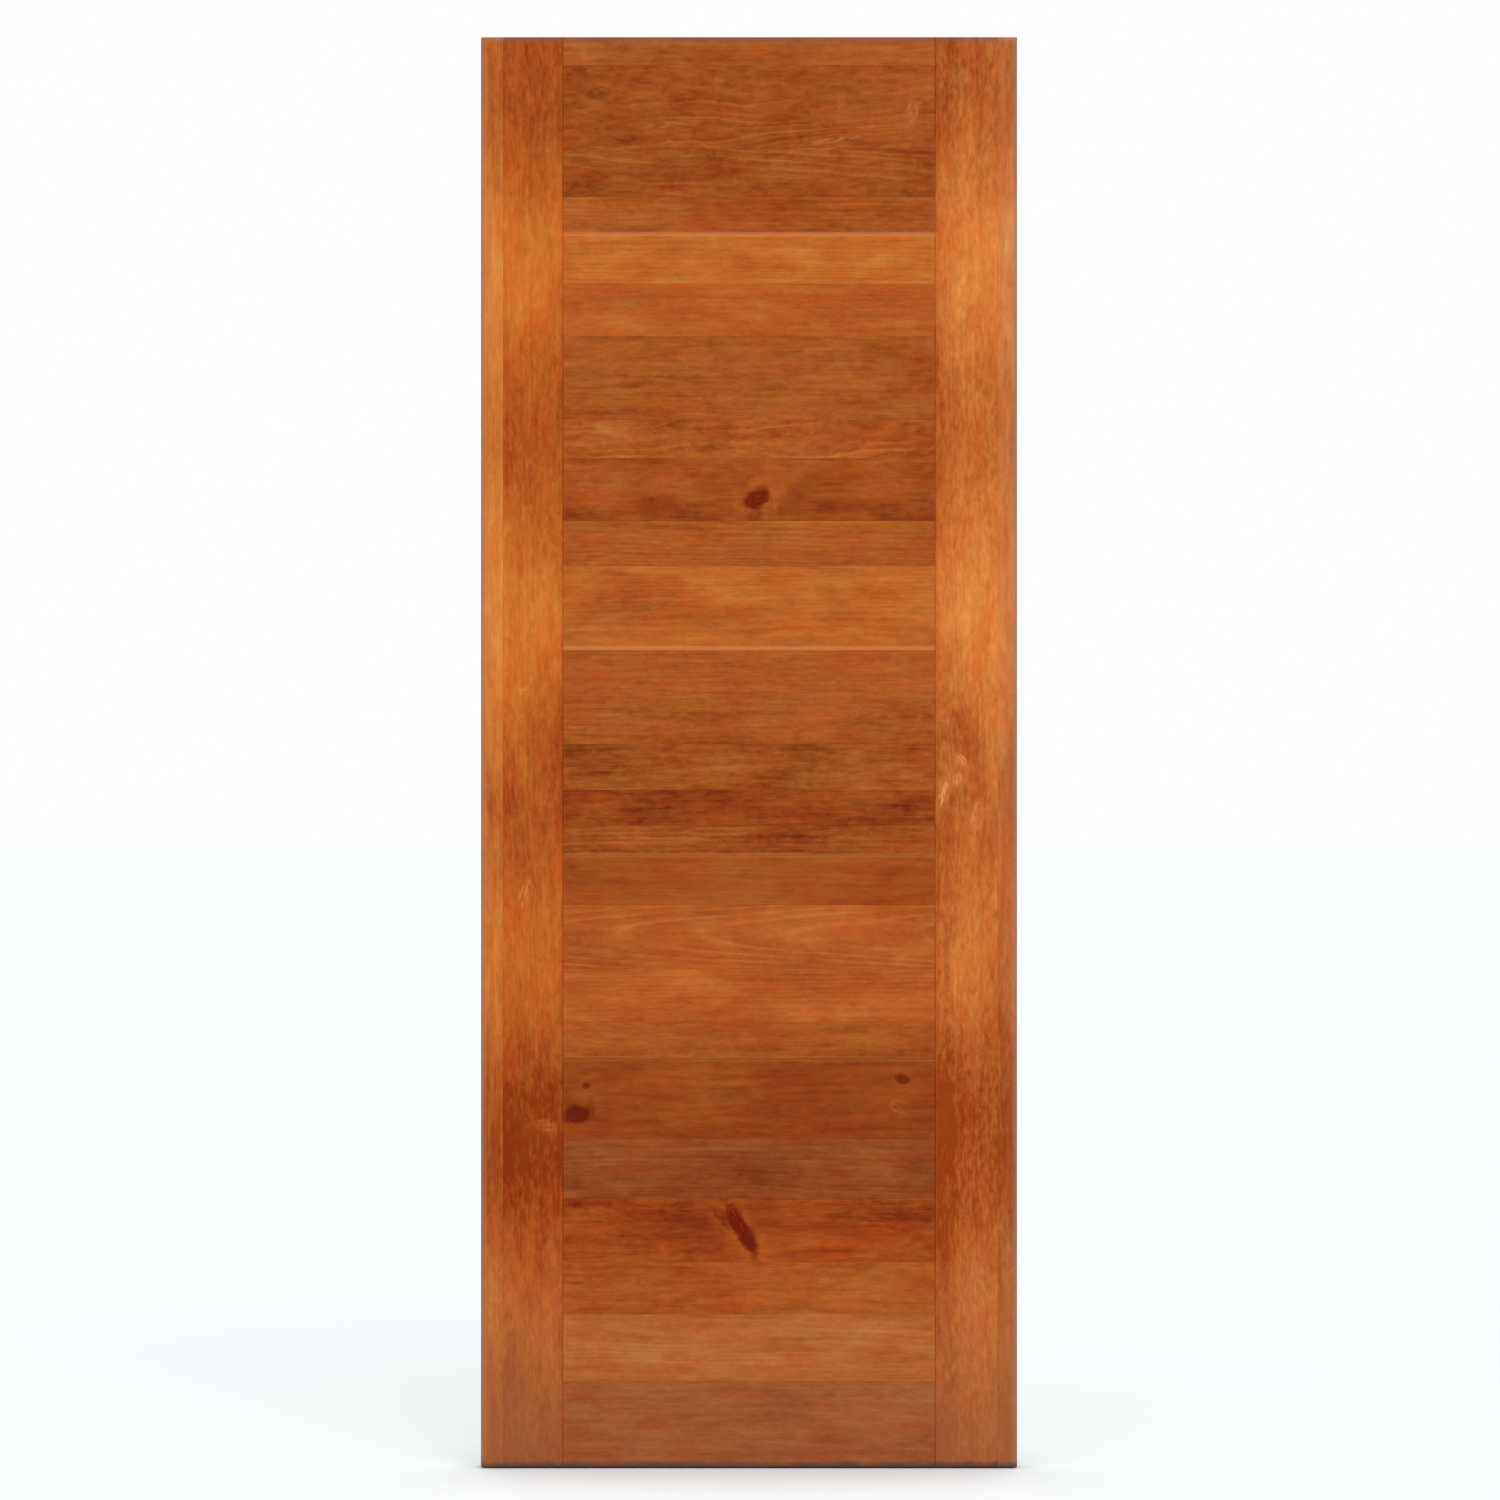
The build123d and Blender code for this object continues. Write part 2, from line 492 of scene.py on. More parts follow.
class Graph:
    """Adds nodes to one shader tree and joins them."""

    def __init__(self, tree: bpy.types.NodeTree) -> None:
        """Keeps the tree that the nodes go into."""
        self.tree = tree

    def add(self, kind: str, inputs: dict[int | str, Feed], **settings: object) -> bpy.types.Node:
        """Adds one node.

        Args:
            kind: The node's type.
            inputs: What goes into its sockets, by name or by number.
            **settings: The node's own properties.

        Returns:
            The new node.
        """
        node = self.tree.nodes.new(kind)
        for name, value in settings.items():
            setattr(node, name, value)
        for key, value in inputs.items():
            self.feed(node.inputs[key], value)
        return node

    def feed(self, socket: Socket, value: Feed) -> None:
        """Links a socket to another one, or sets it to a plain value.

        Args:
            socket: The socket that takes the value.
            value: The other socket, or the plain value.
        """
        if isinstance(value, Socket):
            self.tree.links.new(value, socket)
        else:
            socket.default_value = value

    def math(self, operation: str, *values: Feed, clamp: bool = False) -> Socket:
        """Adds a Math node with these values and returns its result."""
        node = self.add("ShaderNodeMath", dict(enumerate(values)), operation=operation, use_clamp=clamp)
        return node.outputs[0]

    def total(self, operation: str, values: list[Feed]) -> Feed:
        """Joins several values with one operation, two at a time.

        Args:
            operation: The Math node's operation.
            values: What is joined, at least one.

        Returns:
            The result.
        """
        result = values[0]
        for value in values[1:]:
            result = self.math(operation, result, value)
        return result

    def vector(self, operation: str, *values: Feed) -> Socket:
        """Adds a Vector Math node with these values and returns its vector."""
        node = self.add("ShaderNodeVectorMath", dict(enumerate(values)), operation=operation)
        return node.outputs[0]

    def parts(self, vector: Feed) -> tuple[Socket, Socket, Socket]:
        """Returns a vector's three numbers."""
        node = self.add("ShaderNodeSeparateXYZ", {0: vector})
        return node.outputs[0], node.outputs[1], node.outputs[2]

    def joined(self, first: Feed, second: Feed, third: Feed) -> Socket:
        """Returns the vector of three numbers."""
        return self.add("ShaderNodeCombineXYZ", {0: first, 1: second, 2: third}).outputs[0]

    def noise(self, vector: Feed, detail: float = 2.0, roughness: float = 0.5, bend: float = 0.0) -> Socket:
        """Adds noise with one cell to each unit of a vector.

        Args:
            vector: Where to read the noise, already stretched.
            detail: How many finer layers are added.
            roughness: How strong the finer layers are.
            bend: How much the noise distorts itself.

        Returns:
            Noise from 0 to 1 with its middle near 0.5.
        """
        inputs = {"Vector": vector, "Scale": 1.0, "Detail": detail, "Roughness": roughness}
        return self.add("ShaderNodeTexNoise", inputs | {"Distortion": bend}).outputs[0]

    def ramp(self, value: Feed, start: Feed, end: Feed, low: Feed = 0.0, high: Feed = 1.0) -> Socket:
        """Maps a value smoothly from one range to another and returns the result."""
        inputs = {"Value": value, "From Min": start, "From Max": end, "To Min": low, "To Max": high}
        return self.add("ShaderNodeMapRange", inputs, interpolation_type="SMOOTHSTEP").outputs[0]

    def fall(self, value: Feed, start: Feed, end: Feed) -> Socket:
        """Returns 1 below a range, and falls smoothly to 0 at its end."""
        return self.ramp(value, start, end, 1.0, 0.0)

    def hump(self, value: Feed, start: float, full: float, fading: float, end: float) -> Socket:
        """Returns a smooth rise between the first two places and a fall between the last two."""
        return self.math("MULTIPLY", self.ramp(value, start, full), self.fall(value, fading, end))

    def hypotenuse(self, first: Feed, second: Feed) -> Socket:
        """Returns the square root of the sum of two squares."""
        squares = self.math("MULTIPLY_ADD", first, first, self.math("POWER", second, 2.0))
        return self.math("SQRT", squares)

    def bell(self, distance: Feed, reach: float) -> Socket:
        """Returns a soft bell that is 1 at no distance and falls away beyond this reach."""
        share = self.math("POWER", self.math("DIVIDE", distance, reach), 2.0)
        return self.math("EXPONENT", self.math("MULTIPLY", share, -1.0))

    def mixed(self, share: Feed, first: Feed, second: Feed) -> Socket:
        """Mixes two colours by the second one's share and returns the colour."""
        node = self.add("ShaderNodeMix", {0: share, 6: first, 7: second}, data_type="RGBA")
        return node.outputs[2]

    def group(self, tree: bpy.types.NodeTree, inputs: dict[str, Feed]) -> Outputs:
        """Places a node group and returns its outputs by name.

        Args:
            tree: The group.
            inputs: Values by socket name: any that the group doesn't have are left out.

        Returns:
            The group's outputs.
        """
        node = self.add("ShaderNodeGroup", {}, node_tree=tree)
        for socket in node.inputs:
            if socket.name in inputs:
                self.feed(socket, inputs[socket.name])
        return {socket.name: socket for socket in node.outputs}


class GroupDraft(Graph):
    """A new node group with named inputs and outputs, which is filled as any graph is."""

    def __init__(self, name: str, inputs: dict[str, str], outputs: dict[str, str]) -> None:
        """Starts the group.

        Args:
            name: The group's name.
            inputs: Each input's name and kind: Float, Vector or Color.
            outputs: Each output's name and kind.
        """
        super().__init__(bpy.data.node_groups.new(name, "ShaderNodeTree"))
        for in_out, sockets in (("INPUT", inputs), ("OUTPUT", outputs)):
            for socket_name, kind in sockets.items():
                self.tree.interface.new_socket(socket_name, in_out=in_out, socket_type=f"NodeSocket{kind}")
        self.inputs = self.tree.nodes.new("NodeGroupInput").outputs
        self.result = self.tree.nodes.new("NodeGroupOutput")

    def put_out(self, **values: Feed) -> bpy.types.NodeTree:
        """Joins values to the group's outputs.

        Args:
            **values: What each output gives, by its name with _ for a space.

        Returns:
            The finished group.
        """
        for name, value in values.items():
            self.feed(self.result.inputs[name.replace("_", " ")], value)
        return self.tree

    def seeded(self, vector: Feed, cells: Cells) -> Socket:
        """Stretches a vector and moves it by the group's Seed, so that no two boards read the same noise.

        Args:
            vector: The place on the board.
            cells: How far it is stretched.

        Returns:
            The vector to read the noise at.
        """
        shift = self.vector("SCALE", SEED_SHIFT)
        self.feed(shift.node.inputs["Scale"], self.inputs["Seed"])
        return self.vector("MULTIPLY_ADD", vector, cells.value, shift)

    def signed_noise(self, cells: Cells, size: Feed, detail: float = 2.0) -> Socket:
        """Returns noise over the board that moves a value up or down by about half of this size."""
        noise = self.noise(self.seeded(self.inputs["Board Position"], cells), detail=detail)
        return self.math("MULTIPLY", self.math("SUBTRACT", noise, 0.5), size)


def fresh_graph(owner: bpy.types.Material | bpy.types.World) -> Graph:
    """Clears the nodes of a material or a world.

    Args:
        owner: The material or the world.

    Returns:
        A graph to fill it with.
    """
    owner.use_nodes = True
    owner.node_tree.nodes.clear()
    return Graph(owner.node_tree)


def placed(name: str, data: bpy.types.ID) -> bpy.types.Object:
    """Puts a new object into the scene.

    Args:
        name: The object's name.
        data: Its mesh, lamp or camera.

    Returns:
        The object.
    """
    item = bpy.data.objects.new(name, data)
    bpy.context.scene.collection.objects.link(item)
    return item


def floats(*names: str) -> dict[str, str]:
    """Returns number sockets with these names."""
    return {name: "Float" for name in names}


def side_floats(*values: str) -> dict[str, str]:
    """Returns number sockets for each of these values on each of a board's sides."""
    return floats(*(f"{side} {value}" for value in values for side in SIDES))


class PineGroups:
    """The effects that every board's finish shares, each built once as a node group."""

    def __init__(self) -> None:
        """Builds all the groups."""
        self.board_position = self.build_board_position()
        self.board_insets = self.build_board_insets()
        self.growth_rings = self.build_growth_rings()
        self.wood_fibres = self.build_wood_fibres()
        self.stain_and_light = self.build_stain_and_light()
        self.knot_shape = self.build_knot_shape()
        self.knot_colour = self.build_knot_colour()
        self.pine_colour = self.build_pine_colour()
        self.wear_and_shade = self.build_wear_and_shade()
        self.groove_flanks = self.build_groove_flanks()
        self.leaf_border = self.build_leaf_border()
        self.bare_joints = self.build_bare_joints()
        self.lacquer = self.build_lacquer()

    @staticmethod
    def build_board_position() -> bpy.types.NodeTree:
        """Turns a place in the leaf into one along, across and through the board.

        Returns:
            The node group.
        """
        draft = GroupDraft(
            "board position",
            {"Position": "Vector", "Middle": "Vector", "Upright": "Float"},
            {"Board Position": "Vector"},
        )
        from_middle = draft.vector("SUBTRACT", draft.inputs["Position"], draft.inputs["Middle"])
        x, y, z = draft.parts(from_middle)
        turn = {4: draft.joined(x, z, y), 5: draft.joined(z, x, y), 0: draft.inputs["Upright"]}
        turned = draft.add("ShaderNodeMix", turn, data_type="VECTOR").outputs[1]
        return draft.put_out(Board_Position=turned)

    @staticmethod
    def build_board_insets() -> bpy.types.NodeTree:
        """How far a place lies in from the board's two long edges, its ends and its faces.

        Returns:
            The node group.
        """
        draft = GroupDraft(
            "board insets",
            {"Board Position": "Vector"} | floats("Half Length", "Half Width", "Half Thickness"),
            floats("Low Inset", "High Inset", "End Inset", "Depth"),
        )
        along, across, through = draft.parts(draft.inputs["Board Position"])
        return draft.put_out(
            Low_Inset=draft.math("ADD", draft.inputs["Half Width"], across),
            High_Inset=draft.math("SUBTRACT", draft.inputs["Half Width"], across),
            End_Inset=draft.math("SUBTRACT", draft.inputs["Half Length"], draft.math("ABSOLUTE", along)),
            Depth=draft.math("SUBTRACT", draft.inputs["Half Thickness"], draft.math("ABSOLUTE", through)),
        )

    @staticmethod
    def build_growth_rings() -> bpy.types.NodeTree:
        """Growth rings round a pith that runs beside the board, so that faces and ends agree.

        Returns:
            The node group.
        """
        draft = GroupDraft(
            "growth rings",
            {"Board Position": "Vector"}
            | floats("Pith Across", "Pith Depth", "Slope Across", "Slope Depth", "Ring Pitch", "Waviness",
                     "Curl", "Swell", "Line Breaks", "Glow", "Seed"),
            floats("Latewood", "Pale Line", "Ring Tone"),
        )
        inputs = draft.inputs
        along, across, through = draft.parts(inputs["Board Position"])
        wave = draft.signed_noise(Cells.RING_WAVE, inputs["Waviness"])
        curl = draft.signed_noise(Cells.RING_CURL, inputs["Curl"])
        across_line = draft.math("MULTIPLY_ADD", along, inputs["Slope Across"], inputs["Pith Across"])
        depth_line = draft.math("MULTIPLY_ADD", along, inputs["Slope Depth"], inputs["Pith Depth"])
        bends = draft.math("ADD", wave, curl)
        from_across = draft.math("ADD", draft.math("SUBTRACT", across, across_line), bends)
        from_depth = draft.math("ADD", draft.math("SUBTRACT", through, depth_line), wave)
        from_pith = draft.hypotenuse(from_depth, from_across)
        rings = draft.math("ADD", draft.math("DIVIDE", from_pith, inputs["Ring Pitch"]), inputs["Swell"])
        slowly = draft.joined(draft.math("MULTIPLY", rings, 0.31), inputs["Seed"], 0.0)
        rings = draft.math("MULTIPLY_ADD", draft.noise(slowly, detail=1.0), 1.6, rings)
        share = draft.math("FRACT", rings)
        latewood = draft.hump(share, 0.30, 0.88, 0.90, 1.0)
        line = draft.hump(share, 0.0, 0.10, 0.10, 0.42)
        fading = draft.noise(draft.seeded(inputs["Board Position"], Cells.LINE_BREAK), detail=1.0)
        shown = draft.ramp(fading, inputs["Line Breaks"], draft.math("ADD", inputs["Line Breaks"], 0.25))
        line = draft.math("MULTIPLY", line, draft.math("MULTIPLY_ADD", inputs["Glow"], 4.5, shown))
        number = draft.math("ADD", draft.math("FLOOR", rings), inputs["Seed"])
        tone = draft.add("ShaderNodeTexWhiteNoise", {"W": number}, noise_dimensions="1D").outputs[0]
        return draft.put_out(Latewood=latewood, Pale_Line=line, Ring_Tone=tone)

    @staticmethod
    def build_wood_fibres() -> bpy.types.NodeTree:
        """Fibres, streaks, flecks and mottling, all drawn out along the grain but the last.

        Returns:
            The node group.
        """
        draft = GroupDraft(
            "wood fibres",
            {"Board Position": "Vector"} | floats("Bend", "Seed"),
            floats("Fibre", "Streak", "Fleck", "Mottle"),
        )
        place = draft.inputs["Board Position"]
        bend = draft.signed_noise(Cells.FIBRE_BEND, draft.inputs["Bend"], detail=0.0)
        bent = draft.vector("ADD", place, draft.joined(0.0, bend, 0.0))
        return draft.put_out(
            Fibre=draft.noise(draft.seeded(bent, Cells.FIBRE), detail=2.0, roughness=0.6),
            Streak=draft.noise(draft.seeded(bent, Cells.STREAK), detail=3.0, roughness=0.55),
            Fleck=draft.noise(draft.seeded(bent, Cells.FLECK), detail=2.0, roughness=0.6),
            Mottle=draft.noise(draft.seeded(place, Cells.MOTTLE), detail=3.0, roughness=0.7, bend=0.6),
        )

    @staticmethod
    def build_stain_and_light() -> bpy.types.NodeTree:
        """Soft blotches where softwood drinks the stain unevenly, painted pools of light in bands up the
        leaf's height, and darker head, lower half and sides.

        Returns:
            The node group.
        """
        draft = GroupDraft(
            "stain and painted light",
            {"Board Position": "Vector"}
            | floats("Height", "Low Inset", "High Inset", "Half Width", "Low Side Shade", "High Side Shade",
                     "Head Shade", "Seed"),
            floats("Blotch", "Tint", "Band", "Foot Shade", "Side Shade", "Haze"),
        )
        inputs = draft.inputs
        place = inputs["Board Position"]
        blotch = draft.noise(draft.seeded(place, Cells.BLOTCH), detail=3.0, roughness=0.6, bend=0.4)
        tint = draft.noise(draft.seeded(place, Cells.TINT), detail=3.0, roughness=0.6)
        shift = draft.signed_noise(Cells.SHADE_SHIFT, 1.0)
        height = draft.math("MULTIPLY_ADD", shift, 0.2, inputs["Height"])
        above_light = draft.math("SUBTRACT", height, BANDS.first_light_height)
        turns = draft.math("DIVIDE", above_light, BANDS.spacing)
        # Painted pools of light that repeat up the leaf
        band = draft.math("COSINE", draft.math("MULTIPLY", turns, 2 * math.pi))
        sides = []
        for name in ("Low", "High"):
            inset = draft.math("DIVIDE", inputs[f"{name} Inset"], inputs["Half Width"])
            inset = draft.math("MULTIPLY_ADD", shift, 0.9, inset)
            near = draft.fall(inset, 0.35, 1.05)
            sides.append(draft.math("MULTIPLY", near, inputs[f"{name} Side Shade"]))
        head = draft.ramp(height, BANDS.head_shade_start, BANDS.head_shade_end)
        return draft.put_out(
            Blotch=blotch,
            Tint=tint,
            Band=band,
            Foot_Shade=draft.ramp(height, BANDS.foot_shade_start, BANDS.foot_shade_end),
            Side_Shade=draft.math("MULTIPLY_ADD", head, inputs["Head Shade"], draft.math("ADD", *sides)),
            Haze=draft.ramp(height, BANDS.haze_start, LOW_CORNER.z),
        )

    @staticmethod
    def build_knot_shape() -> bpy.types.NodeTree:
        """A knot right through the board: its core, rim, streaks, gaps, halo, dark feathers and swell.

        Returns:
            The node group.
        """
        draft = GroupDraft(
            "knot shape",
            {"Board Position": "Vector"}
            | floats("Along", "Across", "Half Length", "Half Width", "Turn", "Lean", "Swell Rings", "Seed"),
            floats("Core", "Rim", "Streaks", "Gaps", "Halo", "Feather", "Swell"),
        )
        inputs = draft.inputs
        along, across, through = draft.parts(inputs["Board Position"])
        leant = draft.math("MULTIPLY_ADD", through, inputs["Lean"], inputs["Along"])
        from_along = draft.math("SUBTRACT", along, leant)
        from_across = draft.math("SUBTRACT", across, inputs["Across"])
        turned = draft.add(
            "ShaderNodeVectorRotate",
            {"Vector": draft.joined(from_along, from_across, 0.0), "Angle": inputs["Turn"]},
            rotation_type="Z_AXIS",
        ).outputs[0]
        down_line, off_line, _ = draft.parts(turned)
        length_share = draft.math("DIVIDE", down_line, inputs["Half Length"])
        width_share = draft.math("DIVIDE", off_line, inputs["Half Width"])
        smooth = draft.hypotenuse(length_share, width_share)
        ragged = draft.signed_noise(Cells.RAGGED_KNOT, 0.5)
        lobed = draft.signed_noise(Cells.LOBED_KNOT, 0.8, detail=1.0)
        broken = draft.math("ADD", draft.math("ADD", ragged, lobed), 1.0)
        distance = draft.math("MULTIPLY", smooth, broken)
        core = draft.fall(distance, 0.60, 1.15)
        in_knot = draft.joined(down_line, off_line, through)
        strokes = draft.noise(draft.seeded(in_knot, Cells.KNOT_STROKE), detail=1.0)
        around = draft.math("MULTIPLY", draft.bell(smooth, 2.1), draft.math("SUBTRACT", 1.0, core))
        halo = draft.math("MULTIPLY", around, draft.math("MULTIPLY_ADD", lobed, 3.4, 0.55, clamp=True))
        off_grain = draft.math("DIVIDE", from_across, inputs["Half Width"])
        down_grain = draft.math("DIVIDE", from_along, inputs["Half Length"])
        trails = draft.signed_noise(Cells.KNOT_TRAIL, 2.2, detail=1.0)
        feather = draft.math("MULTIPLY", draft.bell(off_grain, 1.1), draft.bell(down_grain, 3.0))
        feather = draft.math("MULTIPLY", feather, draft.math("ADD", trails, 0.6, clamp=True))
        swell = draft.math("MULTIPLY", draft.bell(smooth, 1.9), inputs["Swell Rings"])
        return draft.put_out(
            Core=core,
            Rim=draft.hump(distance, 0.70, 0.98, 0.98, 1.28),
            Streaks=draft.ramp(strokes, 0.52, 0.82),
            Gaps=draft.ramp(strokes, 0.40, 0.56),
            Halo=halo,
            Feather=feather,
            Swell=swell,
        )

    @staticmethod
    def build_knot_colour() -> bpy.types.NodeTree:
        """Lays a knot's colours over the wood's.

        Returns:
            The node group.
        """
        draft = GroupDraft(
            "knot colour",
            {"Color": "Color", "Heart Colour": "Color", "Streak Colour": "Color", "Rim Colour": "Color",
             "Halo Colour": "Color", "Feather Colour": "Color"}
            | floats("Core", "Rim", "Streaks", "Gaps", "Halo", "Feather")
            | floats("Core Weight", "Rim Weight", "Gaps Weight", "Halo Weight", "Feather Weight"),
            {"Color": "Color"},
        )
        inputs = draft.inputs
        heart = draft.mixed(inputs["Streaks"], inputs["Heart Colour"], inputs["Streak Colour"])
        gaps = draft.math("MULTIPLY", inputs["Gaps"], inputs["Gaps Weight"])
        core = draft.math("MULTIPLY", inputs["Core"], draft.math("SUBTRACT", 1.0, gaps))
        colour = inputs["Color"]
        for name in ("Feather", "Halo", "Core", "Rim"):
            mask, over = (core, heart) if name == "Core" else (inputs[name], inputs[f"{name} Colour"])
            share = draft.math("MULTIPLY", mask, inputs[f"{name} Weight"], clamp=True)
            colour = draft.mixed(share, colour, over)
        return draft.put_out(Color=colour)

    @staticmethod
    def build_pine_colour() -> bpy.types.NodeTree:
        """Weighs the rings, streaks, flecks, stain and painted pools of light into one lightness, and
        colours the wood by it.

        Returns:
            The node group.
        """
        middles = {
            "Latewood": 0.34,
            "Pale Line": 0.11,
            "Ring Tone": 0.5,
            "Streak": 0.5,
            "Fleck": 0.5,
            "Fibre": 0.5,
            "Mottle": 0.5,
            "Blotch": 0.5,
            # Painted pools of light in bands up the leaf
            "Band": 0.0,
            "Foot Shade": 0.0,
            "Side Shade": 0.0,
        }
        draft = GroupDraft(
            "pine colour",
            {"Tone": "Color", "Pale": "Color", "Deep": "Color", "Haze Colour": "Color"}
            | floats(*middles)
            | floats(*(f"{mask} Weight" for mask in middles))
            | floats("Tint", "Tint Weight", "Haze", "Haze Weight"),
            {"Color": "Color"},
        )
        inputs = draft.inputs
        lightness: Feed = 0.0
        for mask, middle in middles.items():
            part = draft.math("SUBTRACT", inputs[mask], middle)
            lightness = draft.math("MULTIPLY_ADD", part, inputs[f"{mask} Weight"], lightness)
        colour = draft.mixed(draft.math("MAXIMUM", lightness, 0.0), inputs["Tone"], inputs["Pale"])
        darkness = draft.math("MULTIPLY", draft.math("MINIMUM", lightness, 0.0), -1.0, clamp=True)
        colour = draft.mixed(darkness, colour, inputs["Deep"])
        tint = draft.math("SUBTRACT", inputs["Tint"], 0.5)
        yellower = draft.math("MULTIPLY", tint, inputs["Tint Weight"])
        green = draft.math("ADD", yellower, 1.0)
        blue = draft.math("MULTIPLY_ADD", yellower, 1.4, 1.0)
        tinted = draft.vector("MULTIPLY", colour, draft.joined(1.0, green, blue))
        hazy = draft.math("MULTIPLY", inputs["Haze"], inputs["Haze Weight"])
        return draft.put_out(Color=draft.mixed(hazy, tinted, inputs["Haze Colour"]))

    @staticmethod
    def build_wear_and_shade() -> bpy.types.NodeTree:
        """Where handling has rubbed the stain thin along the arrises, and painted shade beside them.

        Returns:
            The node group.
        """
        draft = GroupDraft(
            "edge wear and shade",
            {"Board Position": "Vector"} | side_floats("Inset", "Arris") | floats("Depth", "Seed"),
            floats("Wear", "Dirt"),
        )
        inputs = draft.inputs
        away = []
        for side in SIDES:
            arris = inputs[f"{side} Arris"]
            gap = draft.math("ABSOLUTE", draft.math("SUBTRACT", inputs[f"{side} Inset"], arris))
            away.append(draft.math("ADD", gap, draft.math("LESS_THAN", arris, 0.0)))
        nearest = draft.math("ADD", draft.total("MINIMUM", away), inputs["Depth"])
        breaks = draft.math("ADD", draft.signed_noise(Cells.WEAR_BREAK, 2.6), 0.7)
        reach = draft.math("MAXIMUM", draft.math("MULTIPLY", breaks, MARKS.wear_reach), MARKS.least_wear)
        return draft.put_out(
            Wear=draft.fall(nearest, 0.0, reach),
            # Painted shade beside the arrises and grooves
            Dirt=draft.fall(nearest, 0.0, MARKS.arris_shade_reach),
        )

    @staticmethod
    def build_groove_flanks() -> bpy.types.NodeTree:
        """The flanks of the V grooves: those along the board's edges and those at its ends.

        Returns:
            The node group.
        """
        draft = GroupDraft(
            "groove flanks",
            side_floats("Inset", "Arris") | floats("Depth"),
            floats("Side Flank", "End Flank"),
        )
        inputs = draft.inputs
        below = draft.ramp(inputs["Depth"], MARKS.flank_start, MARKS.flank_full)
        masks = []
        for side in SIDES:
            inside = draft.math("SUBTRACT", inputs[f"{side} Arris"], inputs[f"{side} Inset"])
            on_flank = draft.math("GREATER_THAN", inside, -MARKS.flank_slack)
            masks.append(draft.math("MULTIPLY", on_flank, below))
        low_flank, high_flank, end_flank_shade = masks
        return draft.put_out(Side_Flank=draft.math("MAXIMUM", low_flank, high_flank), End_Flank=end_flank_shade)

    @staticmethod
    def build_leaf_border() -> bpy.types.NodeTree:
        """The outer few millimetres of the leaf's faces, which turn darker and greyer, and painted shade
        along its foot.

        Returns:
            The node group.
        """
        draft = GroupDraft(
            "leaf border",
            {"Position": "Vector", "Board Position": "Vector"} | floats("Depth", "Seed"),
            floats("Border", "Foot"),
        )
        x, _, z = draft.parts(draft.inputs["Position"])
        above_foot = draft.math("SUBTRACT", z, LOW_CORNER.z)
        insets = [
            draft.math("SUBTRACT", x, LOW_CORNER.x),
            draft.math("SUBTRACT", HIGH_CORNER.x, x),
            draft.math("SUBTRACT", HIGH_CORNER.z, z),
            above_foot,
        ]
        breaks = draft.signed_noise(Cells.BORDER_BREAK, MARKS.border_breaks)
        nearest = draft.math("ADD", draft.total("MINIMUM", insets), breaks)
        foot = draft.math("MULTIPLY_ADD", breaks, 2.0, above_foot)
        radius = JOINERY.arris_radius
        on_face = draft.ramp(draft.inputs["Depth"], radius, 2 * radius, 1.0, MARKS.border_on_edges)
        return draft.put_out(
            Border=draft.math("MULTIPLY", draft.fall(nearest, 0.0, MARKS.border_reach), on_face),
            # Painted shade along the foot
            Foot=draft.fall(foot, 0.0, MARKS.foot_shadow_reach),
        )

    @staticmethod
    def build_bare_joints() -> bpy.types.NodeTree:
        """Wood inside the joints, which was glued up before the stain went on.

        Returns:
            The node group.
        """
        draft = GroupDraft(
            "bare joints", side_floats("Inset", "Joint") | floats("Depth"), {"Bare": "Float"},
        )
        inputs = draft.inputs
        near, open_sides = [], []
        for side in SIDES:
            joint = inputs[f"{side} Joint"]
            inset = inputs[f"{side} Inset"]
            near.append(draft.math("MULTIPLY", draft.math("LESS_THAN", inset, MARKS.bare_reach), joint))
            at_edge = draft.math("LESS_THAN", inset, MARKS.open_edge)
            open_sides.append(draft.math("MULTIPLY", at_edge, draft.math("SUBTRACT", 1.0, joint)))
        hidden = draft.ramp(inputs["Depth"], MARKS.bare_start, MARKS.bare_full)
        bare = draft.math("MULTIPLY", hidden, draft.total("MAXIMUM", near))
        stained = draft.total("MAXIMUM", open_sides)
        return draft.put_out(Bare=draft.math("MULTIPLY", bare, draft.math("SUBTRACT", 1.0, stained)))

    @staticmethod
    def build_lacquer() -> bpy.types.NodeTree:
        """The satin top coat: a roughness that varies with rubbing, and a faint orange peel.

        Returns:
            The node group.
        """
        draft = GroupDraft(
            "lacquer",
            {"Board Position": "Vector"} | floats("Blotch", "Latewood", "Wear", "Bare", "Seed"),
            floats("Roughness", "Orange Peel"),
        )
        inputs = draft.inputs
        peel = draft.noise(draft.seeded(inputs["Board Position"], Cells.ORANGE_PEEL), detail=0.0)
        roughness: Feed = MARKS.roughness
        for mask, weight in (("Blotch", 0.20), ("Latewood", -0.06), ("Wear", 0.18), ("Bare", 0.35)):
            roughness = draft.math("MULTIPLY_ADD", inputs[mask], weight, roughness)
        return draft.put_out(Roughness=roughness, Orange_Peel=peel)


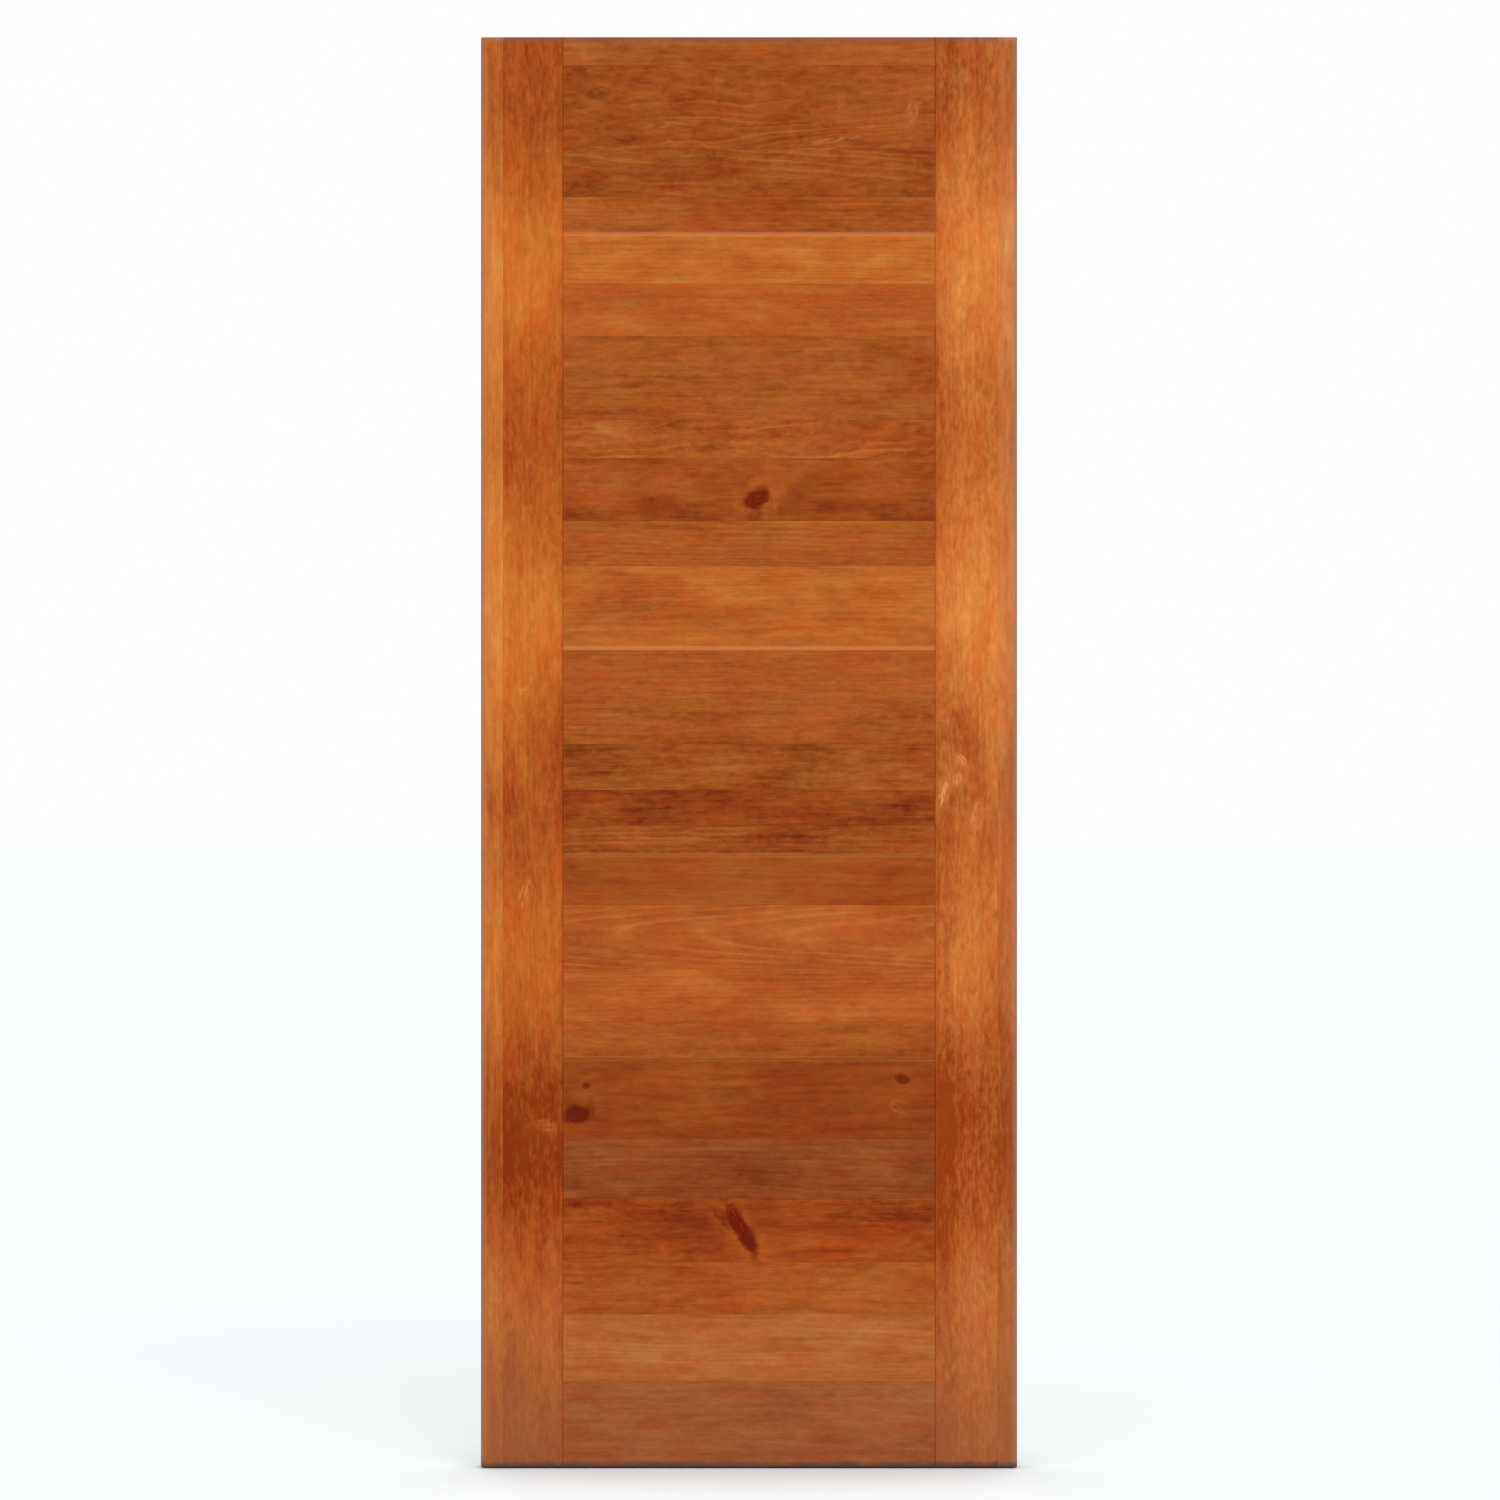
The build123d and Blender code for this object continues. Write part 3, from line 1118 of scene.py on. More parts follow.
@dataclass(frozen=True)
class StainedPine:
    """The finish of one board: its tone, its figure and how strongly each part of the grain shows."""

    tone: Tone
    figure: Figure
    seed: float
    knots: tuple[Knot, ...] = ()
    lightness: float = 1.0
    grain: float = 1.0
    phase: float = 0.0
    ring_tone_weight: float = 0.12
    blotch_weight: float = 1.6
    tint_weight: float = 0.9
    # Strength of the painted pools of light in bands up the board
    painted_light_weight: float = 0.0
    foot_shade: float = 0.0
    foot_haze: float = 0.0
    head_shade: float = 0.0
    low_side_shade: float = 0.0
    high_side_shade: float = 0.0
    # Mixes the side flanks of the V grooves toward a thin stain colour with a painted highlight
    side_flank_highlight: float = 0.0
    # Negative: painted shade on the end flanks, toward the deep colour
    end_flank_shade: float = -0.10
    wear: float = 0.32
    # Painted shade beside the arrises and grooves, in the deep colour
    arris_shade: float = 0.0
    border: Tone = Tone.EDGE_DARKENING
    mirrored: bool = False

    def colours(self) -> tuple[Feed, Feed, Feed]:
        """Returns the tone, and the pale and deep colours that the grain reaches on each side of it."""
        return self.gained((1.0, 1.0, 1.0)), self.gained(PALE_GAIN), self.gained(DEEP_GAIN)

    def gained(self, gain: Triple) -> tuple[float, ...]:
        """Returns the board's tone multiplied channel by channel, as a colour socket takes it."""
        tone = [part * self.lightness for part in self.tone.linear()]
        return (*(part * factor for part, factor in zip(tone, gain)), 1.0)

    def weights(self) -> dict[str, float]:
        """How strongly each mask of the pine colour group shows.

        Returns:
            The weights by the names of the group's inputs.
        """
        values = FIGURES[self.figure]
        return {
            "Latewood Weight": -self.grain * values.ring_weight,
            "Pale Line Weight": self.grain * values.line_weight,
            "Ring Tone Weight": self.grain * self.ring_tone_weight,
            "Streak Weight": self.grain * values.streak_weight,
            "Fleck Weight": self.grain * values.fleck_weight,
            "Fibre Weight": self.grain * values.fibre_weight,
            "Mottle Weight": self.grain * values.mottle_weight,
            "Blotch Weight": self.blotch_weight,
            "Tint Weight": self.tint_weight,
            "Band Weight": self.painted_light_weight,
            "Foot Shade Weight": -self.foot_shade,
            "Side Shade Weight": -1.0,
            "Haze Weight": self.foot_haze,
        }

    def material(self, groups: PineGroups, board: "Board") -> bpy.types.Material:
        """Makes the board's material.

        Args:
            groups: The shared node groups.
            board: The board, for its place and size.

        Returns:
            The finished material.
        """
        material = bpy.data.materials.new(f"{board.node}_stained_pine")
        graph = fresh_graph(material)
        position = graph.add("ShaderNodeTexCoord", {}).outputs["Object"]
        facts = board.shader_facts() | {"Position": position, "Seed": self.seed}
        facts |= graph.group(groups.board_position, facts)
        facts |= graph.group(groups.board_insets, facts)
        knots = self.knot_shapes(graph, groups, board, facts)
        facts["Swell"] = graph.total("ADD", [self.phase, *(shape["Swell"] for shape in knots)])
        glows = [
            graph.math("MULTIPLY", shape["Halo"], knot.boldness * KNOT_LOOKS[knot.heart].glow)
            for knot, shape in zip(self.knots, knots)
        ]
        facts["Glow"] = graph.total("ADD", [0.0, *glows])
        wood = self.wood(graph, groups, facts)
        colour = self.over_knots(graph, groups, knots, wood["Color"])
        colour, masks = self.over_edges(graph, groups, facts, colour)
        lacquer = graph.group(groups.lacquer, facts | wood | masks)
        height = graph.math("MULTIPLY_ADD", lacquer["Orange Peel"], MARKS.peel_height, wood["Fibre"])
        bump = graph.add(
            "ShaderNodeBump",
            {"Height": height, "Strength": MARKS.bump_strength, "Distance": MARKS.bump_distance},
        )
        shader = graph.add(
            "ShaderNodeBsdfPrincipled",
            {
                "Base Color": colour,
                "Roughness": lacquer["Roughness"],
                "Normal": bump.outputs[0],
                "Specular IOR Level": MARKS.specular_level,
            },
        )
        graph.add("ShaderNodeOutputMaterial", {"Surface": shader.outputs[0]})
        return material

    def knot_shapes(
        self, graph: Graph, groups: PineGroups, board: "Board", facts: dict[str, Feed]
    ) -> list[Outputs]:
        """Places one knot group for each knot of the board.

        Args:
            graph: The material's graph.
            groups: The shared node groups.
            board: The board, for its place and size.
            facts: The board's places and sizes.

        Returns:
            Each group's outputs.
        """
        shapes = []
        middle_along, middle_across = board.middle_in_plane()
        for number, knot in enumerate(self.knots):
            along, across = knot.place(board.upright)
            values = {
                "Along": along - middle_along + board.knot_lean * HALF_THICKNESS,
                "Across": across - middle_across,
                "Half Length": knot.length / 2,
                "Half Width": knot.width / 2,
                "Turn": -knot.turn_from_grain(board.upright),
                "Lean": board.knot_lean,
                "Swell Rings": knot.swell,
                "Seed": self.seed + KNOT_SEED_STEP * number,
            }
            shapes.append(graph.group(groups.knot_shape, facts | values))
        return shapes

    def wood(self, graph: Graph, groups: PineGroups, facts: dict[str, Feed]) -> Outputs:
        """Places the rings, fibres and stain.

        Args:
            graph: The material's graph.
            groups: The shared node groups.
            facts: The board's places and sizes.

        Returns:
            Their masks, and the colour they make.
        """
        values = FIGURES[self.figure]
        side = -1.0 if self.mirrored else 1.0
        ring_values = {
            "Pith Across": side * values.pith_across,
            "Pith Depth": values.pith_depth,
            "Slope Across": side * values.slope_across,
            "Slope Depth": values.slope_depth,
            "Ring Pitch": values.ring_pitch,
            "Waviness": values.waviness,
            "Curl": values.curl,
            "Line Breaks": values.line_breaks,
        }
        _, _, height = graph.parts(facts["Position"])
        stain_values = {
            "Height": height,
            "Low Side Shade": self.low_side_shade,
            "High Side Shade": self.high_side_shade,
            "Head Shade": self.head_shade,
        }
        tone, pale, deep = self.colours()
        masks = graph.group(groups.growth_rings, facts | ring_values)
        masks |= graph.group(groups.wood_fibres, facts | {"Bend": values.waviness})
        masks |= graph.group(groups.stain_and_light, facts | stain_values)
        colours = {"Tone": tone, "Pale": pale, "Deep": deep, "Haze Colour": Tone.FOOT_HAZE.colour()}
        return masks | graph.group(groups.pine_colour, masks | colours | self.weights())

    def over_knots(
        self, graph: Graph, groups: PineGroups, knots: list[Outputs], colour: Socket
    ) -> Socket:
        """Lays each knot's colours over the wood.

        Args:
            graph: The material's graph.
            groups: The shared node groups.
            knots: The outputs of the knots' groups.
            colour: The wood's colour.

        Returns:
            The colour with the knots.
        """
        _, pale, deep = self.colours()
        for knot, shape in zip(self.knots, knots):
            look = KNOT_LOOKS[knot.heart]
            values = {
                "Color": colour,
                "Heart Colour": self.gained(look.heart_gain),
                "Streak Colour": self.gained(look.streak_gain),
                "Rim Colour": self.gained(look.rim_gain),
                "Halo Colour": pale,
                "Feather Colour": deep,
                "Core Weight": knot.boldness * look.core_weight,
                "Rim Weight": knot.boldness * look.rim_weight,
                "Gaps Weight": look.gaps_weight,
                "Halo Weight": knot.boldness * look.halo_weight,
                "Feather Weight": knot.boldness * look.feather_weight,
            }
            colour = graph.group(groups.knot_colour, shape | values)["Color"]
        return colour

    def over_edges(
        self, graph: Graph, groups: PineGroups, facts: dict[str, Feed], colour: Socket
    ) -> tuple[Socket, Outputs]:
        """Colours the worn arrises, the painted shade beside them, the groove flanks with their painted
        highlights and shade, the leaf's darker border, the painted shade along its foot and the bare
        joints.

        Args:
            graph: The material's graph.
            groups: The shared node groups.
            facts: The board's places and sizes.
            colour: The colour so far.

        Returns:
            The colour, and the wear, painted shade and bare masks.
        """
        _, pale, deep = self.colours()
        wear = graph.group(groups.wear_and_shade, facts)
        flanks = graph.group(groups.groove_flanks, facts)
        border = graph.group(groups.leaf_border, facts)
        bare = graph.group(groups.bare_joints, facts)
        # The first layer is painted shade beside the arrises and grooves, in the deep colour, and the
        # second is pale wear
        layers = [(wear["Dirt"], self.arris_shade, deep), (wear["Wear"], self.wear, pale)]
        # Positive flank strengths paint a highlight in a thin stain colour, negative ones paint shade in
        # the deep colour
        for name, strength in (("Side Flank", self.side_flank_highlight), ("End Flank", self.end_flank_shade)):
            layers.append((flanks[name], abs(strength), Tone.THIN_STAIN_AND_HIGHLIGHT.colour() if strength > 0 else deep))
        layers += [
            (border["Border"], MARKS.border_weight, self.border.colour()),
            # Painted shade along the leaf's foot
            (border["Foot"], MARKS.foot_shadow_weight, Tone.FOOT_PAINTED_SHADE.colour()),
            (bare["Bare"], MARKS.bare_weight, Tone.BARE_PINE.colour()),
        ]
        for mask, weight, over in layers:
            colour = graph.mixed(graph.math("MULTIPLY", mask, weight), colour, over)
        return colour, wear | bare


@dataclass(frozen=True)
class BoardEdge:
    """One long edge of a board: how its corners are worked, and the rib along its middle."""

    corner: Corner
    rib: Rib = Rib.NONE
    rib_thickness: float = 0.0
    rib_reach: float = 0.0

    def half_outline(self) -> list[Point]:
        """The edge's section from the face in to the middle of the thickness.

        Returns:
            Points as distance out from the edge, and distance from the middle of the thickness.
        """
        if self.corner in (Corner.PANEL_V, Corner.STILE_V):
            points = self.v_points()
        else:
            eased = self.corner is Corner.EASED
            soft = JOINERY.arris_radius if eased else JOINERY.glue_line_round
            steps = STEPS.eased_round if eased else STEPS.glue_line_round
            arris = (0.0, HALF_THICKNESS)
            points = bend((-soft, HALF_THICKNESS), arris, (0.0, HALF_THICKNESS - soft), steps)
        return spaced(points + self.rib_points(), STEPS.edge)

    def v_points(self) -> list[Point]:
        """The board's flank of a V groove.

        Returns:
            Its points, from the worn arris down to the groove's root.
        """
        panel = self.corner is Corner.PANEL_V
        half_width = (JOINERY.panel_v_width if panel else JOINERY.stile_v_width) / 2
        depth = JOINERY.panel_v_depth if panel else JOINERY.stile_v_depth
        soft = JOINERY.worn_round
        share = soft / math.hypot(half_width, depth)
        on_flank = (-half_width * (1 - share), HALF_THICKNESS - depth * share)
        arris = (-half_width, HALF_THICKNESS)
        points = bend((-half_width - soft, HALF_THICKNESS), arris, on_flank, STEPS.worn_round)
        return points + [(0.0, HALF_THICKNESS - depth)]

    def rib_points(self) -> list[Point]:
        """The section of the tongue, groove or plain edge.

        Returns:
            Its points, ending at the middle of the thickness.
        """
        half, reach = self.rib_thickness / 2, self.rib_reach
        if self.rib is Rib.TONGUE:
            chamfer = JOINERY.tongue_tip_chamfer
            return [(0.0, half), (reach - chamfer, half), (reach, half - chamfer), (reach, 0.0)]
        if self.rib is Rib.GROOVE:
            half += JOINERY.side_clearance
            return [(0.0, half), (-reach, half), (-reach, 0.0)]
        return [(0.0, 0.0)]


def bend(start: Point, corner: Point, end: Point, steps: int) -> list[Point]:
    """A rounded corner.

    Args:
        start: Where the round leaves the first side.
        corner: Where the two sides would meet.
        end: Where the round joins the second side.
        steps: How many straight pieces the round has.

    Returns:
        The points of the round, both ends included.
    """
    points = []
    for step in range(steps + 1):
        share = step / steps
        weights = ((1 - share) ** 2, 2 * share * (1 - share), share**2)
        weighed = list(zip(weights, (start, corner, end)))
        points.append(tuple(sum(weight * point[axis] for weight, point in weighed) for axis in (0, 1)))
    return points


def spaced(points: list[Point], longest: float) -> list[Point]:
    """Adds points so that no straight piece of an outline is longer than wanted.

    Args:
        points: The outline.
        longest: The greatest length of a piece.

    Returns:
        The old and new points in order.
    """
    result = [points[0]]
    for start, end in zip(points, points[1:]):
        pieces = max(1, math.ceil(math.dist(start, end) / longest))
        for piece in range(1, pieces + 1):
            share = piece / pieces
            result.append(tuple(a + (b - a) * share for a, b in zip(start, end)))
    return result


def graded(low: float, high: float, step: float, fine: list[Triple]) -> list[float]:
    """Places between two ends, closer together where there is detail.

    Args:
        low: The first place.
        high: The last place.
        step: The usual distance.
        fine: Middle, reach and step of each stretch that is divided more finely.

    Returns:
        The places in order, both ends included.
    """
    places = [low]
    while places[-1] < high:
        here = places[-1]
        steps = [step] + [small for middle, reach, small in fine if abs(here - middle) < reach]
        places.append(here + min(steps))
    if high - places[-2] < STEPS.shortest_share * (places[-1] - places[-2]):
        places.pop(-2)
    places[-1] = high
    return places


@dataclass
class Board:
    """One board of the leaf: its mesh in the board's own directions, and its finish.

    low_edge is the edge at the lower value across the grain: the underside of a stave, or the left edge
    of a stile or strip.
    """

    node: str
    slot: str
    finish: StainedPine
    low_edge: BoardEdge
    high_edge: BoardEdge
    across_range: Point
    along_range: Point
    upright: bool = False
    proud: float = 0.0
    cup: float = 0.0
    knot_lean: float = 0.25

    def middle_in_plane(self) -> Point:
        """Returns the middle of the board's face along and across the grain."""
        return sum(self.along_range) / 2, sum(self.across_range) / 2

    def middle(self) -> Vector:
        """Returns the middle of the board in the leaf's frame."""
        along, across = self.middle_in_plane()
        return Vector((across, LEAF_MIDDLE.y, along) if self.upright else (along, LEAF_MIDDLE.y, across))

    def half_extents(self) -> Point:
        """The size of the board's face.

        Returns:
            Half its length and half its width.
        """
        length = self.along_range[1] - self.along_range[0]
        width = self.across_range[1] - self.across_range[0]
        return length / 2, width / 2

    def shader_facts(self) -> dict[str, Feed]:
        """The sizes and edges of the board, for its material.

        Returns:
            The values by the names that the node groups use.
        """
        half_length, half_width = self.half_extents()
        end_corner = Corner.EASED if self.upright else Corner.STILE_V
        return {
            "Middle": tuple(self.middle()),
            "Upright": float(self.upright),
            "Half Length": half_length,
            "Half Width": half_width,
            "Half Thickness": HALF_THICKNESS,
            "Low Arris": JOINERY.arris_inset(self.low_edge.corner),
            "High Arris": JOINERY.arris_inset(self.high_edge.corner),
            "End Arris": JOINERY.arris_inset(end_corner),
            "Low Joint": float(self.low_edge.rib is not Rib.NONE),
            "High Joint": float(self.high_edge.rib is not Rib.NONE),
            "End Joint": float(not self.upright),
        }

    def fine_places(self, axis: int) -> list[Triple]:
        """Stretches with sunken knots, where the mesh is finer.

        Args:
            axis: 0 for places along the grain, or 1 for places across it.

        Returns:
            The middle, reach and step of each stretch.
        """
        places = []
        for knot in self.finish.knots:
            if knot.heart is Heart.DARK:
                reach = STEPS.knot_reach_share * max(knot.length, knot.width)
                places.append((knot.place(self.upright)[axis], reach, STEPS.knot))
        return places

    def ring(self) -> np.ndarray:
        """The board's section.

        Returns:
            Its points, across and through the board.
        """
        low, high = self.across_range
        low_points = [(low - out, through) for out, through in self.low_edge.half_outline()]
        high_points = [(high + out, through) for out, through in self.high_edge.half_outline()]
        face = graded(low_points[0][0], high_points[0][0], STEPS.face, self.fine_places(1))
        face_points = [(across, HALF_THICKNESS) for across in face[1:-1]]
        half = low_points[::-1] + face_points + high_points
        other = [(across, -through) for across, through in reversed(half[1:-1])]
        return np.array(half + other)

    def relief(self, along: np.ndarray, across: np.ndarray, side: np.ndarray) -> np.ndarray:
        """How far a face stands out from true: cupping, a proud or shy board, and the knots.

        Args:
            along: The points' places along the grain.
            across: Their places across it.
            side: 1 at the back and -1 at the front.

        Returns:
            The height of each point above the true face.
        """
        _, half_width = self.half_extents()
        _, middle_across = self.middle_in_plane()
        width_share = (across - middle_across) / half_width
        out = self.proud + self.cup * side * (width_share**2 - 0.5)
        ripple_along = np.sin(along * RELIEF.ripple_turn_along + self.finish.seed)
        out = out + RELIEF.ripple * ripple_along * np.cos(across * RELIEF.ripple_turn_across)
        for knot in self.finish.knots:
            out = out + self.knot_relief(knot, along, across, side)
        return out

    def knot_relief(
        self, knot: Knot, along: np.ndarray, across: np.ndarray, side: np.ndarray
    ) -> np.ndarray:
        """A knot's sunken heart, raised rim and drying check, or a curl's slight swelling.

        Args:
            knot: The knot or curl.
            along: The points' places along the grain.
            across: Their places across it.
            side: 1 at the back and -1 at the front.

        Returns:
            The height that it adds to each point.
        """
        knot_along, knot_across = knot.place(self.upright)
        from_along = along - knot_along - self.knot_lean * (1 + side) * HALF_THICKNESS
        from_across = across - knot_across
        turn = knot.turn_from_grain(self.upright)
        down_line = from_along * math.cos(turn) + from_across * math.sin(turn)
        off_line = from_across * math.cos(turn) - from_along * math.sin(turn)
        distance = np.hypot(down_line / (knot.length / 2), off_line / (knot.width / 2))
        if knot.heart is not Heart.DARK:
            return RELIEF.curl_height * np.exp(-(distance**2))
        heart = -RELIEF.heart_drop * np.clip(RELIEF.rim_distance - distance, 0.0, 1.0)
        rim = RELIEF.rim_height * np.exp(-(((distance - RELIEF.rim_distance) / RELIEF.rim_spread) ** 2))
        wander = off_line + RELIEF.check_wander * np.sin(down_line * RELIEF.check_wander_turn)
        widening = RELIEF.check_width_change * np.sin(down_line * RELIEF.check_width_turn)
        check = -RELIEF.check_depth * np.exp(-((wander / (RELIEF.check_width + widening)) ** 2))
        within = np.abs(down_line) < knot.length * RELIEF.check_reach_share
        return heart + rim + check * within

    def stations(self) -> list[tuple[float, float, float, float]]:
        """Where the section is repeated along the board.

        Returns:
            For each station, its place along the board, how far from the middle its faces may lie, and the
            lowest and highest value across that it may reach.
        """
        start, end = self.along_range
        if not self.upright:
            return self.tenoned_stations(start, end)
        radius = JOINERY.arris_radius
        pieces = STEPS.end_round
        angles = [math.radians(90.0 * piece / pieces) for piece in range(pieces + 1)]
        rounds = [(radius * (1 - math.cos(angle)), radius * (1 - math.sin(angle))) for angle in angles]
        near = [(start + inset, HALF_THICKNESS - drop, drop) for inset, drop in rounds]
        far = [(end - inset, HALF_THICKNESS - drop, drop) for inset, drop in rounds]
        body = graded(start + radius, end - radius, STEPS.upright_length, self.fine_places(0))
        rows = near + [(place, HALF_THICKNESS, 0.0) for place in body[1:-1]] + far[::-1]
        left, right = LOW_CORNER.x, HIGH_CORNER.x
        return [(place, limit, left + drop, right - drop) for place, limit, drop in rows]

    def tenoned_stations(self, start: float, end: float) -> list[tuple[float, float, float, float]]:
        """The stations of a stave: tenon, shoulder, fine V, face and the same again.

        Args:
            start: Where its face starts.
            end: Where its face ends.

        Returns:
            The same four values for each station.
        """
        flank = BoardEdge(Corner.STILE_V).v_points()
        tenon = JOINERY.tongue_thickness / 2
        rib_foot = self.across_range[0] + self.low_edge.rib_reach
        anywhere = (-BEYOND_THE_LEAF, BEYOND_THE_LEAF)
        on_tenon = (tenon, rib_foot, BEYOND_THE_LEAF)
        rows = [(start - JOINERY.tenon_length, *on_tenon), (start, *on_tenon)]
        rows += [(start - out, limit, *anywhere) for out, limit in reversed(flank)]
        body = graded(start - flank[0][0], end + flank[0][0], STEPS.stave_length, self.fine_places(0))
        rows += [(place, HALF_THICKNESS, *anywhere) for place in body[1:-1]]
        rows += [(end + out, limit, *anywhere) for out, limit in flank]
        rows += [(end, *on_tenon), (end + JOINERY.tenon_length, *on_tenon)]
        return rows

    def build(self) -> bpy.types.Object:
        """Makes the board.

        Returns:
            Its mesh object.
        """
        ring = self.ring()
        stations = np.array(self.stations())
        along, limit, lowest, highest = (stations[:, column, None] for column in range(4))
        across = np.clip(ring[None, :, 0], lowest, highest)
        side = np.sign(ring[None, :, 1]) * np.ones_like(along)
        depth = np.minimum(np.abs(ring[None, :, 1]), limit)
        on_face = depth > HALF_THICKNESS - 1e-6
        along_all = along * np.ones_like(across)
        depth = depth + np.where(on_face, self.relief(along_all, across, side), 0.0)
        through = LEAF_MIDDLE.y + side * depth
        axes = (across, through, along_all) if self.upright else (along_all, through, across)
        vertices = np.stack(axes, axis=-1).reshape(-1, 3)
        faces, layout = self.faces_and_layout(ring, along[:, 0])
        return self.mesh_object(vertices, faces, layout)

    def faces_and_layout(
        self, ring: np.ndarray, along: np.ndarray
    ) -> tuple[list[tuple[int, ...]], list[list[Point]]]:
        """The board's faces, and where each of their corners lies in its flat layout for textures.

        Args:
            ring: The section's points.
            along: Each station's place.

        Returns:
            The faces and their layouts.
        """
        size, rows = len(ring), len(along)
        low, high = self.across_range
        start, end = float(along[0]), float(along[-1])
        bands = self.layout_bands()
        faces, layout = [], []
        margin = LAYOUT.length_margin
        lengths = [float(share) for share in (along - start) / (end - start) * (1 - 2 * margin) + margin]
        for column in range(size):
            after = (column + 1) % size
            band, values = self.band_of(ring[column], ring[after], low, high)
            bottom, top = bands[band]
            v_here, v_after = (bottom + (top - bottom) * min(max(value, 0.0), 1.0) for value in values)
            for row in range(rows - 1):
                here, there = row * size, (row + 1) * size
                faces.append((here + column, here + after, there + after, there + column))
                u_here, u_next = lengths[row], lengths[row + 1]
                layout.append([(u_here, v_here), (u_here, v_after), (u_next, v_after), (u_next, v_here)])
        bottom, top = bands["end"]
        width = high - low + 2 * LAYOUT.rib_room
        for row, offset in ((0, margin), (rows - 1, LAYOUT.far_end_start)):
            faces.append(tuple(range(row * size, (row + 1) * size)))
            layout.append([
                (offset + LAYOUT.end_width * (across - low + LAYOUT.rib_room) / width,
                 bottom + (top - bottom) * (through / (2 * HALF_THICKNESS) + 0.5))
                for across, through in ring
            ])
        return faces, layout

    def layout_bands(self) -> dict[str, Point]:
        """Where each side of the board lies up the height of the flat layout.

        Returns:
            The lower and upper end of each side's band, by its name.
        """
        width = self.across_range[1] - self.across_range[0]
        sizes = {"front": width, "back": width, "low": HALF_THICKNESS, "high": HALF_THICKNESS}
        sizes |= {"hidden": LAYOUT.hidden_width, "end": HALF_THICKNESS}
        bands, bottom = {}, 0.0
        for name, size in sizes.items():
            top = bottom + size / sum(sizes.values())
            bands[name] = (bottom + LAYOUT.band_margin, top - LAYOUT.band_margin)
            bottom = top
        return bands

    @staticmethod
    def band_of(here: np.ndarray, after: np.ndarray, low: float, high: float) -> tuple[str, Point]:
        """Which side of the board a strip of faces belongs to, and its place on that side.

        Args:
            here: The strip's first edge, across and through.
            after: Its second edge.
            low: The lower end of the board's face.
            high: The upper end of the board's face.

        Returns:
            The side's name, and the two edges' shares of its width.
        """
        level = math.isclose(here[0], after[0], abs_tol=1e-9)
        if min(abs(here[1]), abs(after[1])) > HALF_THICKNESS - LAYOUT.face_depth and not level:
            shares = tuple(float((point[0] - low) / (high - low)) for point in (here, after))
            return ("back" if here[1] > 0 else "front"), shares
        shares = tuple(float(point[1] / (2 * HALF_THICKNESS) + 0.5) for point in (here, after))
        for name, edge in (("low", low), ("high", high)):
            if level and math.isclose(here[0], edge, abs_tol=1e-6):
                return name, shares
        return "hidden", shares

    def mesh_object(
        self, vertices: np.ndarray, faces: list[tuple[int, ...]], layout: list[list[Point]]
    ) -> bpy.types.Object:
        """Makes the object from its points, with its layout for textures and its sharp edges.

        Args:
            vertices: The points.
            faces: The numbers of each face's points.
            layout: Where each face's corners lie in the flat layout.

        Returns:
            The object, in the scene.
        """
        mesh = bpy.data.meshes.new(f"{self.node}_board")
        mesh.from_pydata(vertices.tolist(), [], faces)
        layer = mesh.uv_layers.new(name="OFBake")
        flat = [number for corners in layout for corner in corners for number in corner]
        layer.data.foreach_set("uv", flat)
        shaped = bmesh.new()
        shaped.from_mesh(mesh)
        bmesh.ops.remove_doubles(shaped, verts=shaped.verts, dist=STEPS.weld_distance)
        bmesh.ops.dissolve_degenerate(shaped, edges=shaped.edges, dist=STEPS.collapse_distance)
        bmesh.ops.recalc_face_normals(shaped, faces=shaped.faces)
        for face in shaped.faces:
            face.smooth = True
        for edge in shaped.edges:
            edge.smooth = edge.is_manifold and edge.calc_face_angle(0.0) < math.radians(STEPS.sharp_degrees)
        shaped.to_mesh(mesh)
        shaped.free()
        return placed(f"{self.node}_board", mesh)

    def dress(self, board: bpy.types.Object, groups: PineGroups) -> None:
        """Gives the board its finish and ties it to the frame.

        Args:
            board: The board's mesh object.
            groups: The shared node groups.
        """
        board.data.materials.append(self.finish.material(groups, self))
        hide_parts(self.node)
        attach(board, "root")


def finished(boards: list[Board], groups: PineGroups) -> list[bpy.types.Object]:
    """Builds and dresses some boards.

    Args:
        boards: The boards.
        groups: The shared node groups.

    Returns:
        Their mesh objects.
    """
    pieces = []
    for board in boards:
        piece = board.build()
        board.dress(piece, groups)
        pieces.append(piece)
    return pieces


